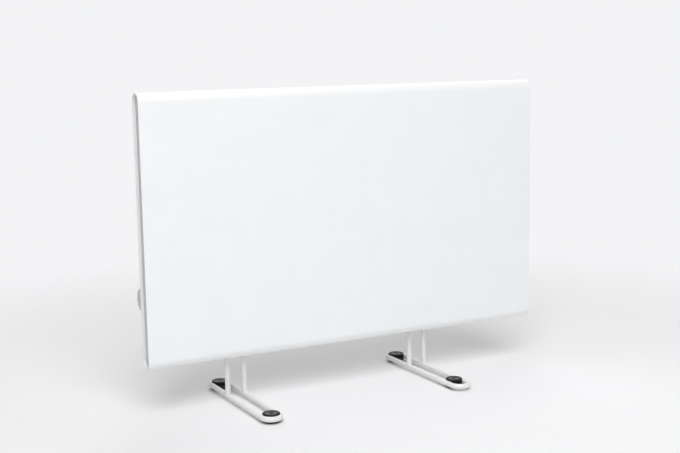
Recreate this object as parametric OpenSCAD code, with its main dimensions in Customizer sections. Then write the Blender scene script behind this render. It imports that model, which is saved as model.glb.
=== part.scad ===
// Slim convector panel heater on two bent rod stands.
// Millimetres, +Z up, +X along the casing, the front faces -Y.
// The origin is on the floor, under the middle of the casing and of the stands.

/* [Casing] */
// Width of the casing
casing_w = 623; // [560:1:900]
// Height of the casing
casing_h = 370; // [330:1:450]
// Depth of the casing, which is also twice the radius of its top and bottom bends
casing_d = 25; // [24:0.5:32]
// Thickness of the steel sheet of the cover and of the back plate
sheet_t = 1.2; // [0.8:0.1:1.5]
// Height of the flange that the cover turns down behind the back plate
flange_h = 18; // [14:0.5:20]
// Gap between a bend's end and the edge of the back plate
plate_margin = 2; // [1:0.5:4]
// Height of the casing's underside above the floor
ground_gap = 67.1; // [50:0.1:110]
// Distance of the casing's front face ahead of the middle of the stands
front_reach = 1.7; // [0:0.1:20]

/* [End caps] */
// Distance that each end cap sits inside the end of the casing
end_recess = 3.6; // [1.5:0.1:6]
// Thickness of an end cap's face
cap_face_t = 1.6; // [1.2:0.1:2.5]
// Depth of an end cap's rim behind its face
cap_rim = 9; // [5:0.5:14]
// Clearance between an end cap's rim and the sheet around it
cap_gap = 0.15; // [0.1:0.05:0.3]

/* [Back plate] */
// Width of one air slot
slot_w = 5; // [3:0.5:6]
// Height of one air slot
slot_h = 24; // [16:1:30]
// Distance from one air slot to the next
slot_pitch = 12; // [10:0.5:16]
// Height of the inlet slots' middle above the casing's underside
inlet_z = 50; // [46:1:56]
// Distance of the outlet slots' middle below the casing's top
outlet_drop = 54; // [50:1:70]
// Margin between the air slots and the ends of the casing
slot_margin = 30; // [24:1:60]
// Width of one stiffening bead
bead_w = 14; // [10:0.5:18]
// Height that a bead stands out behind the plate
bead_h = 2; // [1.2:0.1:2.5]
// Distance of the upper bead below the outlet slots' middle
bead_drop = 42; // [34:1:50]
// Distance between the two beads
bead_pitch = 56; // [40:1:56]
// Distance of the beads' ends from the ends of the casing
bead_margin = 60; // [50:1:120]

/* [Heating element] */
// Outer diameter of the element's steel tube
tube_d = 8; // [6:0.5:9]
// Distance of the left element bracket from the left end of the casing
element_left_in = 168.5; // [162:0.5:173]
// Distance of the right element bracket from the right end of the casing
element_right_in = 53.5; // [50:0.5:110]
// Height of the element above the casing's underside
element_z = 105; // [96:1:112]
// Gap between the back plate and the fins
fin_back_gap = 3; // [2:0.5:3.5]
// Height of one fin
fin_h = 46; // [30:1:48]
// Depth of one fin
fin_d = 14; // [12:0.5:14]
// Thickness of one fin
fin_t = 0.8; // [0.5:0.1:1]
// Distance from one fin to the next
fin_pitch = 11; // [8:0.5:16]
// Length of the collar that each fin grips the tube with
collar_l = 4; // [2:0.5:6]
// Length of the unheated end of the tube outside each bracket
cold_end = 12; // [8:1:16]
// Length of the insulator at each end of the tube
insulator_l = 3; // [2:0.5:5]
// Length of the pin at each end of the tube
pin_l = 8; // [6:0.5:10]
// Diameter of that pin
pin_d = 3; // [2:0.1:4]
// Thickness of the element brackets
bracket_t = 1.2; // [1:0.1:1.5]
// Height of the element brackets
bracket_h = 56; // [50:1:60]
// Width of the foot that holds each element bracket to the back plate
bracket_foot = 13; // [10:0.5:14]
// Width of the ear that holds the heat shield
bracket_ear = 9; // [8:0.5:11]
// Thickness of the heat shield
shield_t = 0.6; // [0.4:0.1:0.8]
// Height of the heat shield
shield_h = 84; // [70:1:100]
// Gap between the heat shield and the fins
shield_gap = 2.1; // [1.5:0.1:2.2]
// Depth of the lip along the heat shield's top and bottom edges
shield_lip = 4; // [2:0.5:6]

/* [Thermal cutout] */
// Diameter of the cutout's body
cutout_d = 15; // [12:0.5:16]
// Height of the cutout's body above its flange
cutout_h = 8; // [6:0.5:9]
// Distance of the cutout above the middle of the element
cutout_rise = 44; // [42:1:60]
// Distance of the cutout from the left element bracket
cutout_in = 43; // [24:1:80]
// Distance between the cutout's two screws
cutout_span = 24; // [22:0.5:28]
// Width of the cutout's flange
cutout_flange_w = 8; // [7:0.5:10]
// Thickness of the cutout's flange
cutout_flange_t = 0.8; // [0.6:0.1:1.2]

/* [Control box] */
// Distance of the box from the left end of the casing
box_inset = 20; // [19:0.5:24]
// Width of the box
box_w = 86; // [80:1:92]
// Height of the box
box_h = 68; // [60:1:74]
// Depth of the box behind the back plate
box_d = 37; // [36:0.5:44]
// Wall thickness of the box
box_wall = 2; // [1.5:0.1:2.5]
// Radius of the corners of the box's outline
box_r = 6; // [4.5:0.5:8]
// Radius of the box's rear edges
box_edge_r = 3; // [2.6:0.1:4]
// Width of one vent slot in the box
vent_w = 2.4; // [1.6:0.1:3]
// Length of one vent slot
vent_l = 20; // [12:0.5:26]
// Distance from one vent slot to the next
vent_pitch = 5.5; // [4.5:0.1:6]
// Number of vent slots in the box's top, and in its underside
vent_count = 5; // [3:1:5]
// Distance of the first vent slot from the side of the box
vent_in = 12; // [10:0.5:14]
// Height of the dial's axis above the casing's underside
dial_z = 89.5; // [88:0.5:96]
// Distance of the dial's axis behind the casing
dial_back = 17; // [16.5:0.1:18]

/* [Thermostat and dial] */
// Diameter of the dial
dial_d = 32; // [28:0.5:32.5]
// Distance of the dial's face from the left end of the casing
dial_inset = 6; // [4:0.5:8]
// Gap between the dial's skirt and the box
dial_gap = 0.6; // [0.4:0.1:1.5]
// Wall thickness of the dial
dial_wall = 1.8; // [1.5:0.1:2.5]
// Number of grip grooves around the dial
dial_grooves = 30; // [12:1:40]
// Radius of one grip groove
groove_r = 0.6; // [0.4:0.1:0.8]
// Diameter of the thermostat's spindle
spindle_d = 6; // [5:0.5:6.5]
// Running clearance around the spindle
spindle_gap = 0.05; // [0.02:0.01:0.1]
// Diameter of the threaded bush that holds the thermostat
bush_d = 10; // [9:0.5:11]
// Width of the thermostat's body, along the spindle
stat_w = 22; // [18:1:26]
// Height of the thermostat's body
stat_h = 26; // [20:1:30]
// Depth of the thermostat's body
stat_d = 24; // [20:1:26]
// Width of the blades that the wires plug onto
blade_w = 6; // [4:0.1:6.5]
// Thickness of those blades
blade_t = 0.8; // [0.5:0.1:1]
// Length of those blades
blade_l = 5; // [4:0.5:5.5]

/* [Wiring] */
// Diameter of the wires
wire_d = 2.4; // [1.6:0.1:2.6]
// Clearance between a wire's end and what it is fixed to
wire_gap = 0.1; // [0.05:0.05:0.2]
// Diameter of the hole for the wires in the back plate
wire_hole_d = 14; // [12:0.5:15]
// Length of the terminal block
block_w = 36; // [30:1:38]
// Height of the terminal block
block_h = 18; // [14:1:20]
// Depth of the terminal block
block_d = 15; // [12:1:18]
// Diameter of the bore for the mains cord in the inlet
cord_bore_d = 7.4; // [6:0.1:8]
// Outer diameter of the cord inlet
inlet_d = 13; // [12:0.5:15]

/* [Stands] */
// Diameter of the bent rod
rod_d = 7.5; // [6:0.5:8]
// Distance between the two runs of a stand, from middle to middle
run_gap = 25.2; // [24:0.1:28]
// Distance between the middles of the two round ends of a stand's loop
loop_span = 181; // [150:1:220]
// Height of the rod's middle above the floor
rod_z = 7.1; // [6.8:0.1:9]
// Distance of the left stand from the left end of the casing
stand_left_in = 136.5; // [136:0.5:142]
// Distance of the right stand from the right end of the casing
stand_right_in = 188.5; // [160:0.5:200]
// Distance of the uprights' middle behind the casing
upright_back = 5.5; // [5.5:0.1:8]
// Clearance between an upright and its bracket
upright_gap = 0.05; // [0.02:0.01:0.1]
// Wall of a stand bracket around the uprights
holder_wall = 3; // [2.5:0.1:4]
// Height of a stand bracket
holder_h = 14; // [12:0.5:16]
// Height of the lower stand brackets above the casing's underside
lower_holder_z = 74; // [72:1:76]
// Height of the upper stand brackets above the casing's underside
upper_holder_z = 160; // [150:1:190]
// Length of upright above the upper bracket
upright_over = 3; // [1:0.5:8]

/* [Feet] */
// Diameter of a foot
foot_d = 24; // [20:0.5:24.4]
// Thickness of a foot's cap above the rod
foot_cap_t = 2; // [1.5:0.1:3]
// Diameter of a foot's pad on the floor
pad_d = 18.5; // [14:0.5:19.5]
// Height of a foot's pad
pad_t = 2.4; // [1.6:0.1:2.8]
// Clearance between a foot and the rod in its groove
foot_gap = 0.1; // [0.05:0.05:0.2]
// Radius of the edge round a foot's top
foot_edge_r = 1.6; // [0.8:0.1:1.9]
// Diameter of the shallow dish in a foot's top
foot_dish_d = 16.6; // [14:0.1:18]
// Depth of that dish
foot_dish = 0.6; // [0.3:0.1:1]
// Diameter of the screw head's recess in a foot's cap
foot_recess_d = 8.6; // [8:0.1:9.5]
// Depth of that recess
foot_recess = 3; // [2.6:0.1:3.2]
// Height of the feet's screw heads
foot_head_h = 2; // [1.5:0.1:2.2]
// Diameter of the feet's screws
foot_screw_d = 3.5; // [3:0.1:4]
// Distance of the left front foot from the middle of its loop's round end
foot_in_left_front = 0; // [0:0.5:40]
// Distance of the left rear foot from the middle of its loop's round end
foot_in_left_rear = 0; // [0:0.5:30]
// Distance of the right front foot from the middle of its loop's round end
foot_in_right_front = 14.5; // [0:0.5:40]
// Distance of the right rear foot from the middle of its loop's round end
foot_in_right_rear = 0; // [0:0.5:30]

/* [Fasteners] */
// Diameter of the screws that hold the casing, the element and the box
screw_d = 3.5; // [3:0.1:4]
// Diameter of those screws' heads
head_d = 6.4; // [6:0.1:7]
// Height of those screws' heads
head_h = 1.8; // [1.5:0.1:2]
// Diameter of the bolts that hold the stand brackets
bolt_d = 4; // [3.5:0.1:5]
// Diameter of the bolts' heads
bolt_head_d = 8; // [7.5:0.1:9]
// Height of the bolts' heads
bolt_head_h = 3; // [2.5:0.1:3.5]
// Width of the nuts behind the stand brackets
nut_w = 8; // [7.5:0.1:9]
// Thickness of those nuts
nut_t = 2.4; // [2:0.1:2.6]
// Clearance around a screw in a hole
hole_gap = 0.1; // [0.05:0.05:0.2]
// Distance of the outer casing screws from the ends of the casing
case_screw_in = 24; // [20:0.5:30]
// Length that the casing's and the element's screws reach past the sheets
screw_over = 2; // [1.5:0.1:4]
// Distance of the screws and rivets from the ends of the element brackets
bracket_screw_in = 8; // [7:0.5:10]
// Length of the box's screws behind the back plate
box_screw_l = 10; // [8:0.5:12]
// Wall of the box's bosses round their screws
boss_wall = 2; // [1.5:0.1:2.5]
// Distance of the lower boss from the box's side wall
lower_boss_in = 8; // [7:0.5:9]
// Diameter of the heat shield's rivets
rivet_d = 2; // [1.6:0.1:2.4]
// Diameter of the rivets' heads
rivet_head_d = 3.6; // [3.2:0.1:4]
// Height of the rivets' heads
rivet_head_h = 0.5; // [0.3:0.1:0.8]

/* [Hidden] */
$fn = 64;
tiny = 0.01;
reach = 1;
half_w = casing_w / 2;
front_y = -front_reach;
rear_y = front_y + casing_d;
bend_r = casing_d / 2;
mid_y = front_y + bend_r;
base_z = ground_gap;
top_z = base_z + casing_h;
plate_out_y = rear_y - sheet_t;
plate_in_y = plate_out_y - sheet_t;
plate_bottom = base_z + bend_r + plate_margin;
plate_top = top_z - bend_r - plate_margin;
inlet_mid_z = base_z + inlet_z;
outlet_mid_z = top_z - outlet_drop;
slot_span = casing_w - 2 * slot_margin;
slot_count = floor(slot_span / slot_pitch);
cap_in_x = half_w - end_recess - cap_face_t - cap_rim;
tube_z = base_z + element_z;
fin_y = plate_in_y - fin_back_gap - fin_d / 2;
fin_front_y = fin_y - fin_d / 2;
shield_y = fin_front_y - shield_gap;
left_web_x = -half_w + element_left_in;
right_web_x = half_w - element_right_in;
fin_room = right_web_x - left_web_x - 2 * bracket_ear - 2 * bracket_t;
fin_count = floor((fin_room - collar_l - fin_t) / fin_pitch) + 1;
fin_start = (left_web_x + right_web_x) / 2 - (fin_count - 1) * fin_pitch / 2;
tube_left = left_web_x - cold_end;
tube_right = right_web_x + cold_end;
left_pin_x = tube_left - insulator_l - pin_l;
right_pin_x = tube_right + insulator_l + pin_l;
fin_corner_r = 3;
collar_wall = 1;
tube_wall = 1;
tube_play = 0.1;
cutout_x = left_web_x + cutout_in;
cutout_z = tube_z + cutout_rise;
cutout_blade_x = 3.5;
bead_r = (pow(bead_w / 2, 2) + pow(bead_h, 2)) / (2 * bead_h);
bead_zs = [outlet_mid_z - bead_drop, outlet_mid_z - bead_drop - bead_pitch];
box_left = -half_w + box_inset;
box_right = box_left + box_w;
dial_axis_y = rear_y + dial_back;
dial_axis_z = base_z + dial_z;
box_z = dial_axis_z - box_h / 2;
box_rear = plate_out_y + box_d;
dial_face_x = -half_w + dial_inset;
dial_skirt_x = box_left - dial_gap;
boss_sink = 0.5;
boss_in = screw_d / 2 + boss_wall - boss_sink;
boss_over = 2;
boss_end = box_screw_l + boss_over;
nut_wall = 2.5;
nut_across = bush_d + 2 * nut_wall;
nut_thick = 2;
bush_over = 2;
spindle_tip_gap = 0.6;
spindle_tip_x = dial_face_x + dial_wall + spindle_tip_gap;
spindle_in = 10;
spindle_end_gap = 0.5;
dial_hub_wall = 2.2;
dial_hub_d = spindle_d + 2 * dial_hub_wall;
dial_edge_r = 1;
dial_nut_room = 1;
dial_l = dial_skirt_x - dial_face_x;
groove_start = 3;
pointer_l = 7;
pointer_w = 1;
pointer_depth = 0.5;
pointer_in = 2;
index_w = 1.2;
index_l = 5;
index_t = 0.5;
index_gap = 1.5;
index_z = dial_axis_z + dial_d / 2 + index_gap;
stat_blade_y = 6;
stat_blade_drop = 5;
grommet_lip_t = 1.2;
grommet_lip = 2;
grommet_wall = 2;
grommet_play = 0.05;
wire_in = 4;
wire_rise = 2;
wire_x = box_right - box_wall - wire_hole_d / 2 - wire_in;
wire_z = dial_axis_z + wire_rise;
wire_up = 2;
wire_down = 2.5;
wire_clear = 4;
wire_bend = 3;
block_in = 6;
block_rise = 7;
block_x = box_left + box_wall + stat_w + block_in;
block_z = box_z + box_wall + block_rise;
pole_play = 0.6;
pole_bore_d = wire_d + 2 * pole_play;
pole_screw_d = 3.6;
pole_groove_w = 1.2;
pole_groove = 3;
inlet_x = block_x + block_w / 2;
inlet_back = 4;
inlet_y = plate_out_y + block_d / 2 + inlet_back;
inlet_flange_t = 2;
inlet_flange = 2.5;
inlet_drop = 12;
inlet_in = 2;
inlet_taper = 1;
left_stand_x = -half_w + stand_left_in;
right_stand_x = half_w - stand_right_in;
upright_y = rear_y + upright_back;
upright_top = base_z + upper_holder_z + holder_h / 2 + upright_over;
holder_corner_r = 3;
holder_w = run_gap + rod_d + 2 * holder_wall;
holder_rear = upright_y + rod_d / 2 + holder_wall;
lower_z = base_z + lower_holder_z;
upper_z = base_z + upper_holder_z;
rod_top = rod_z + rod_d / 2;
foot_top_z = rod_top + foot_gap + foot_cap_t;
foot_places = [
    [left_stand_x, foot_in_left_front - loop_span / 2],
    [left_stand_x, loop_span / 2 - foot_in_left_rear],
    [right_stand_x, foot_in_right_front - loop_span / 2],
    [right_stand_x, loop_span / 2 - foot_in_right_rear]
];
foot_head_gap = 0.3;
foot_screw_z = 2.5;
foot_seat_z = foot_top_z - foot_recess;
pad_edge_r = 0.8;
pad_floor = 2;
cross_w = 0.8;
cross_depth = 0.8;
cross_margin = 1;
case_screw_xs = [-half_w + case_screw_in, 0, half_w - case_screw_in];
flange_mid = bend_r + flange_h / 2 + plate_margin / 2;
stand_xs = [left_stand_x, right_stand_x];
holder_zs = [lower_z, upper_z];

// The casing's end outline, drawn in Y and Z, moved inwards all round
module casing_outline(inset) {
    r = bend_r - inset;
    translate([mid_y - r, base_z + bend_r]) square([2 * r, casing_h - 2 * bend_r]);
    translate([mid_y, base_z + bend_r]) circle(r);
    translate([mid_y, top_z - bend_r]) circle(r);
}

// Turns an outline in Y and Z into a bar from x0 to x1
module along_x(x0, x1) {
    translate([x0, 0, 0]) rotate([90, 0, 90]) linear_extrude(x1 - x0) children();
}

// A cylinder along X from x0 to x1
module rod_x(d, x0, x1, y, z) {
    translate([x0, y, z]) rotate([0, 90, 0]) cylinder(d = d, h = x1 - x0);
}

// A cylinder along Y from y0 to y1
module rod_y(d, y0, y1, x, z) {
    translate([x, y0, z]) rotate([-90, 0, 0]) cylinder(d = d, h = y1 - y0);
}

// A box given by its two corners
module span(a, b) {
    translate(a) cube([b[0] - a[0], b[1] - a[1], b[2] - a[2]]);
}

// The cross in a screw head of the given diameter, cut down from z = 0
module cross_recess(hd) {
    l = hd - 2 * cross_margin;
    translate([-l / 2, -cross_w / 2, -cross_depth]) cube([l, cross_w, cross_depth + reach]);
    translate([-cross_w / 2, -l / 2, -cross_depth]) cube([cross_w, l, cross_depth + reach]);
}

// A screw along Y with its head at the rear, seated at y_seat
module rear_screw(d, hd, hh, y_seat, l, x, z) {
    rod_y(d, y_seat - l, y_seat + hh - cross_depth - tiny, x, z);
    difference() {
        rod_y(hd, y_seat, y_seat + hh, x, z);
        translate([x, y_seat + hh, z]) rotate([-90, 0, 0]) cross_recess(hd);
    }
}

// The places where the cover's flanges are screwed to the back plate
module at_case_screws() {
    for (x = case_screw_xs, z = [base_z + flange_mid, top_z - flange_mid]) {
        translate([x, 0, z]) children();
    }
}

// Height of the upper and the lower screw or rivet in an element bracket
function bracket_screw_z(side) = tube_z + side * (bracket_h / 2 - bracket_screw_in);

// The places where the element brackets are screwed to the back plate
module at_element_screws() {
    for (s = [[left_web_x, -1], [right_web_x, 1]], z = [-1, 1]) {
        translate([s[0] + s[1] * (bracket_t + bracket_foot / 2), 0, bracket_screw_z(z)]) children();
    }
}

// The places of the cutout's two screws
module at_cutout_screws() {
    for (s = [-1, 1]) {
        translate([cutout_x + s * cutout_span / 2, 0, cutout_z]) children();
    }
}

// The places of the control box's screws, which come through the back plate
module at_box_screws() {
    translate([box_right - box_wall - lower_boss_in, 0, box_z + box_wall + boss_in]) children();
    translate([box_left + box_w / 2, 0, box_z + box_h - box_wall - boss_in]) children();
}

// The places of the stand brackets' bolts
module at_bolts() {
    for (x = stand_xs, z = holder_zs) {
        translate([x, 0, z]) children();
    }
}

// Cover: one sheet bent round the top and the bottom, with a flange behind each bend
module front_cover() {
    color("whitesmoke") difference() {
        along_x(-half_w, half_w) casing_outline(0);
        along_x(-half_w - reach, half_w + reach) casing_outline(sheet_t);
        span([-half_w - reach, mid_y + bend_r / 2, base_z + bend_r + flange_h],
             [half_w + reach, rear_y + reach, top_z - bend_r - flange_h]);
        at_case_screws() rod_y(screw_d + 2 * hole_gap, plate_out_y - reach, rear_y + reach, 0, 0);
    }
}

// One air slot with round ends
module air_slot(x, z) {
    span([x - slot_w / 2, plate_in_y - reach, z - slot_h / 2 + slot_w / 2],
         [x + slot_w / 2, plate_out_y + reach, z + slot_h / 2 - slot_w / 2]);
    for (s = [-1, 1]) {
        rod_y(slot_w, plate_in_y - reach, plate_out_y + reach, x, z + s * (slot_h - slot_w) / 2);
    }
}

// A round-ended bar that a bead is part of, moved inwards all round
module bead_bar(inset, z) {
    r = bead_r - inset;
    x_end = half_w - bead_margin - bead_w / 2;
    y = plate_out_y + bead_h - bead_r;
    rod_x(2 * r, -x_end, x_end, y, z);
    for (s = [-1, 1]) {
        translate([s * x_end, y, z]) sphere(r);
    }
}

// Back plate: sheet with the air slots and two pressed beads, behind the element
module back_plate() {
    color("gainsboro") difference() {
        union() {
            span([-half_w, plate_in_y, plate_bottom], [half_w, plate_out_y, plate_top]);
            intersection() {
                for (z = bead_zs) bead_bar(0, z);
                span([-half_w, plate_in_y + tiny, plate_bottom],
                     [half_w, plate_out_y + bead_h + reach, plate_top]);
            }
        }
        for (z = bead_zs) bead_bar(sheet_t, z);
        for (i = [0 : slot_count - 1]) {
            x = (i - (slot_count - 1) / 2) * slot_pitch;
            if (x - slot_w / 2 > box_right + slot_margin / 2) {
                air_slot(x, inlet_mid_z);
            }
            air_slot(x, outlet_mid_z);
        }
        at_case_screws() rod_y(screw_d + 2 * hole_gap, plate_in_y - reach, plate_out_y + reach, 0, 0);
        at_element_screws() rod_y(screw_d + 2 * hole_gap, plate_in_y - reach, plate_out_y + reach, 0, 0);
        at_cutout_screws() rod_y(screw_d + 2 * hole_gap, plate_in_y - reach, plate_out_y + reach, 0, 0);
        at_box_screws() rod_y(screw_d + 2 * hole_gap, plate_in_y - reach, plate_out_y + reach, 0, 0);
        at_bolts() rod_y(bolt_d + 2 * hole_gap, plate_in_y - reach, plate_out_y + reach, 0, 0);
        rod_y(wire_hole_d, plate_in_y - reach, plate_out_y + reach, wire_x, wire_z);
    }
}

// End cap: a face with a rim, pushed into the end of the casing
module end_cap(side) {
    x_out = half_w - end_recess;
    x_face = x_out - cap_face_t;
    color("lightgray") mirror([side < 0 ? 1 : 0, 0, 0]) difference() {
        along_x(cap_in_x, x_out) casing_outline(sheet_t + cap_gap);
        along_x(cap_in_x - reach, x_face) intersection() {
            casing_outline(sheet_t + cap_gap + cap_face_t);
            translate([front_y, base_z]) square([plate_in_y - cap_gap - cap_face_t - front_y, casing_h]);
        }
        span([cap_in_x - reach, plate_in_y - cap_gap, base_z], [half_w, rear_y + reach, top_z]);
    }
}

// Element: a steel tube with an insulator and a pin at each end
module heating_element() {
    color("dimgray") {
        rod_x(tube_d, tube_left, tube_right, fin_y, tube_z);
        rod_x(tube_d - 2 * tube_wall, tube_left - insulator_l, tube_right + insulator_l, fin_y, tube_z);
        rod_x(pin_d, left_pin_x, right_pin_x, fin_y, tube_z);
    }
}

// Fins: pressed plates, each with a collar that grips the tube
module element_fins() {
    r = fin_corner_r;
    color("silver") for (i = [0 : fin_count - 1]) {
        x = fin_start + i * fin_pitch;
        difference() {
            union() {
                span([x - fin_t / 2, fin_y - fin_d / 2, tube_z - fin_h / 2 + r],
                     [x + fin_t / 2, fin_y + fin_d / 2, tube_z + fin_h / 2 - r]);
                span([x - fin_t / 2, fin_y - fin_d / 2 + r, tube_z - fin_h / 2],
                     [x + fin_t / 2, fin_y + fin_d / 2 - r, tube_z + fin_h / 2]);
                for (sy = [-1, 1], sz = [-1, 1]) {
                    rod_x(2 * r, x - fin_t / 2, x + fin_t / 2,
                          fin_y + sy * (fin_d / 2 - r), tube_z + sz * (fin_h / 2 - r));
                }
                rod_x(tube_d + 2 * collar_wall, x - fin_t / 2, x + fin_t / 2 + collar_l, fin_y, tube_z);
            }
            rod_x(tube_d + tube_play, x - fin_t, x + fin_t + collar_l, fin_y, tube_z);
        }
    }
}

// Element bracket: a web round the tube, a foot on the back plate, an ear for the shield
module element_bracket(side) {
    x0 = side < 0 ? left_web_x : right_web_x;
    foot_end = bracket_t + bracket_foot;
    foot_y = plate_in_y - bracket_t;
    color("lightgray") difference() {
        union() {
            along_side(x0, side, 0, bracket_t, shield_y, plate_in_y, bracket_h);
            along_side(x0, side, bracket_t - tiny, foot_end, foot_y, plate_in_y, bracket_h);
            along_side(x0, side, -bracket_ear, tiny, shield_y, shield_y + bracket_t, bracket_h);
        }
        rod_x(tube_d + 2 * tube_play, x0 - 2 * bracket_t, x0 + 2 * bracket_t, fin_y, tube_z);
        at_element_screws() rod_y(screw_d + 2 * hole_gap, foot_y - reach, plate_in_y + reach, 0, 0);
        for (z = [-1, 1]) {
            rod_y(rivet_d + 2 * hole_gap, shield_y - reach, shield_y + bracket_t + reach,
                  x0 - side * bracket_ear / 2, bracket_screw_z(z));
        }
    }
}

// A plate beside a web at x0, measured outwards from it on the given side
module along_side(x0, side, a, b, y0, y1, h) {
    xa = x0 + side * a;
    xb = x0 + side * b;
    span([min(xa, xb), y0, tube_z - h / 2], [max(xa, xb), y1, tube_z + h / 2]);
}

// Heat shield: thin sheet between the element and the cover, with a lip at each long edge
module heat_shield() {
    x0 = left_web_x;
    x1 = right_web_x;
    y0 = shield_y - shield_t;
    color("silver") difference() {
        union() {
            span([x0, y0, tube_z - shield_h / 2], [x1, shield_y, tube_z + shield_h / 2]);
            for (s = [0, 1]) {
                z = tube_z + (s == 0 ? -shield_h / 2 : shield_h / 2 - shield_t);
                span([x0, shield_y - tiny, z], [x1, shield_y + shield_lip, z + shield_t]);
            }
        }
        for (s = [[x0, -1], [x1, 1]], z = [-1, 1]) {
            rod_y(rivet_d + 2 * hole_gap, y0 - reach, shield_y + reach,
                  s[0] - s[1] * bracket_ear / 2, bracket_screw_z(z));
        }
    }
}

// Rivets that hold the heat shield to the brackets' ears
module shield_rivets() {
    color("silver") for (s = [[left_web_x, -1], [right_web_x, 1]], z = [-1, 1]) {
        x = s[0] - s[1] * bracket_ear / 2;
        y0 = shield_y - shield_t;
        y1 = shield_y + bracket_t;
        rod_y(rivet_d, y0 - rivet_head_h / 2, y1 + rivet_head_h / 2, x, bracket_screw_z(z));
        rod_y(rivet_head_d, y0 - rivet_head_h, y0, x, bracket_screw_z(z));
        rod_y(rivet_head_d, y1, y1 + rivet_head_h, x, bracket_screw_z(z));
    }
}

// Thermal cutout: a round body on a flange with two ears and two blades
module thermal_cutout() {
    y0 = plate_in_y - cutout_flange_t;
    color("lightgray") difference() {
        union() {
            rod_y(cutout_d, y0 - cutout_h, plate_in_y, cutout_x, cutout_z);
            span([cutout_x - cutout_span / 2, y0, cutout_z - cutout_flange_w / 2],
                 [cutout_x + cutout_span / 2, plate_in_y, cutout_z + cutout_flange_w / 2]);
            for (s = [-1, 1]) {
                x = cutout_x + s * cutout_blade_x;
                rod_y(cutout_flange_w, y0, plate_in_y, cutout_x + s * cutout_span / 2, cutout_z);
                span([x - blade_t / 2, y0 - cutout_h - blade_l, cutout_z - blade_w / 2],
                     [x + blade_t / 2, y0 - cutout_h + tiny, cutout_z + blade_w / 2]);
            }
        }
        at_cutout_screws() rod_y(screw_d + 2 * hole_gap, y0 - reach, plate_in_y + reach, 0, 0);
    }
}

// Screws that hold the cutout to the back plate
module cutout_screws() {
    color("silver") at_cutout_screws() {
        rear_screw(screw_d, head_d, head_h, plate_out_y, sheet_t + cutout_flange_t + screw_over, 0, 0);
    }
}

// The control box as a block from y0 backwards, its outline's corners and its rear edges rounded,
// moved inwards all round by the inset
module box_block(inset, y0) {
    r = box_r - inset;
    e = box_edge_r - inset;
    x0 = box_left + inset;
    x1 = box_right - inset;
    y1 = box_rear - inset;
    z0 = box_z + inset;
    z1 = box_z + box_h - inset;
    span([x0 + r, y0, z0], [x1 - r, y1 - e, z1]);
    span([x0, y0, z0 + r], [x1, y1 - e, z1 - r]);
    span([x0 + r, y0, z0 + e], [x1 - r, y1, z1 - e]);
    span([x0 + e, y0, z0 + r], [x1 - e, y1, z1 - r]);
    for (z = [z0 + e, z1 - e]) {
        rod_x(2 * e, x0 + r, x1 - r, y1 - e, z);
    }
    for (x = [x0 + e, x1 - e]) {
        translate([x, y1 - e, z0 + r]) cylinder(r = e, h = z1 - z0 - 2 * r);
    }
    for (x = [x0 + r, x1 - r], z = [z0 + r, z1 - r]) {
        translate([x, y0, z]) rotate([-90, 0, 0]) rotate_extrude() {
            square([r, y1 - e - y0]);
            square([r - e, y1 - y0]);
            translate([r - e, y1 - e - y0]) circle(e);
        }
    }
}

// One vent slot through the box's top or underside
module vent_slot(x, z) {
    y = (plate_out_y + box_rear) / 2;
    l = vent_l - vent_w;
    translate([x, y, z - box_wall / 2 - reach]) {
        translate([-vent_w / 2, -l / 2, 0]) cube([vent_w, l, box_wall + 2 * reach]);
        for (s = [-1, 1]) {
            translate([0, s * l / 2, 0]) cylinder(d = vent_w, h = box_wall + 2 * reach);
        }
    }
}

// Control box: a moulded housing, open towards the back plate, with a ridge over the dial
module control_box() {
    color("whitesmoke") difference() {
        union() {
            difference() {
                box_block(0, plate_out_y);
                box_block(box_wall, plate_out_y - reach);
            }
            at_box_screws() rod_y(screw_d + 2 * boss_wall, plate_out_y, box_rear - box_wall + tiny, 0, 0);
            span([box_left - index_t, dial_axis_y - index_w / 2, index_z],
                 [box_left + tiny, dial_axis_y + index_w / 2, index_z + index_l]);
        }
        at_box_screws() rod_y(screw_d + 2 * hole_gap, plate_out_y - reach, plate_out_y + boss_end, 0, 0);
        rod_x(bush_d + 2 * hole_gap, box_left - reach, box_left + box_wall + reach, dial_axis_y, dial_axis_z);
        translate([inlet_x, inlet_y, box_z - reach]) {
            cylinder(d = inlet_d + 2 * hole_gap, h = box_wall + 2 * reach);
        }
        for (i = [0 : vent_count - 1]) {
            vent_slot(box_right - vent_in - i * vent_pitch, box_z + box_h - box_wall / 2);
            vent_slot(box_left + vent_in + i * vent_pitch, box_z + box_wall / 2);
        }
    }
}

// Screws that hold the box, put in from the front of the back plate
module box_screws() {
    color("silver") at_box_screws() {
        rod_y(screw_d, plate_in_y - head_h / 2, plate_out_y + box_screw_l, 0, 0);
        rod_y(head_d, plate_in_y - head_h, plate_in_y, 0, 0);
    }
}

// Thermostat: a block behind the box's side wall, with a bush through the wall
module thermostat_body() {
    x0 = box_left + box_wall;
    color("dimgray") difference() {
        union() {
            span([x0, dial_axis_y - stat_d / 2, dial_axis_z - stat_h / 2],
                 [x0 + stat_w, dial_axis_y + stat_d / 2, dial_axis_z + stat_h / 2]);
            rod_x(bush_d, box_left - nut_thick - bush_over, x0 + tiny, dial_axis_y, dial_axis_z);
            for (s = [-1, 1]) {
                y = dial_axis_y + s * stat_blade_y;
                z = dial_axis_z - stat_blade_drop;
                span([x0 + stat_w - tiny, y - blade_w / 2, z - blade_t / 2],
                     [x0 + stat_w + blade_l, y + blade_w / 2, z + blade_t / 2]);
            }
        }
        rod_x(spindle_d + 2 * spindle_gap, box_left - nut_thick - bush_over - reach, x0 + spindle_in,
              dial_axis_y, dial_axis_z);
    }
}

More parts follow.
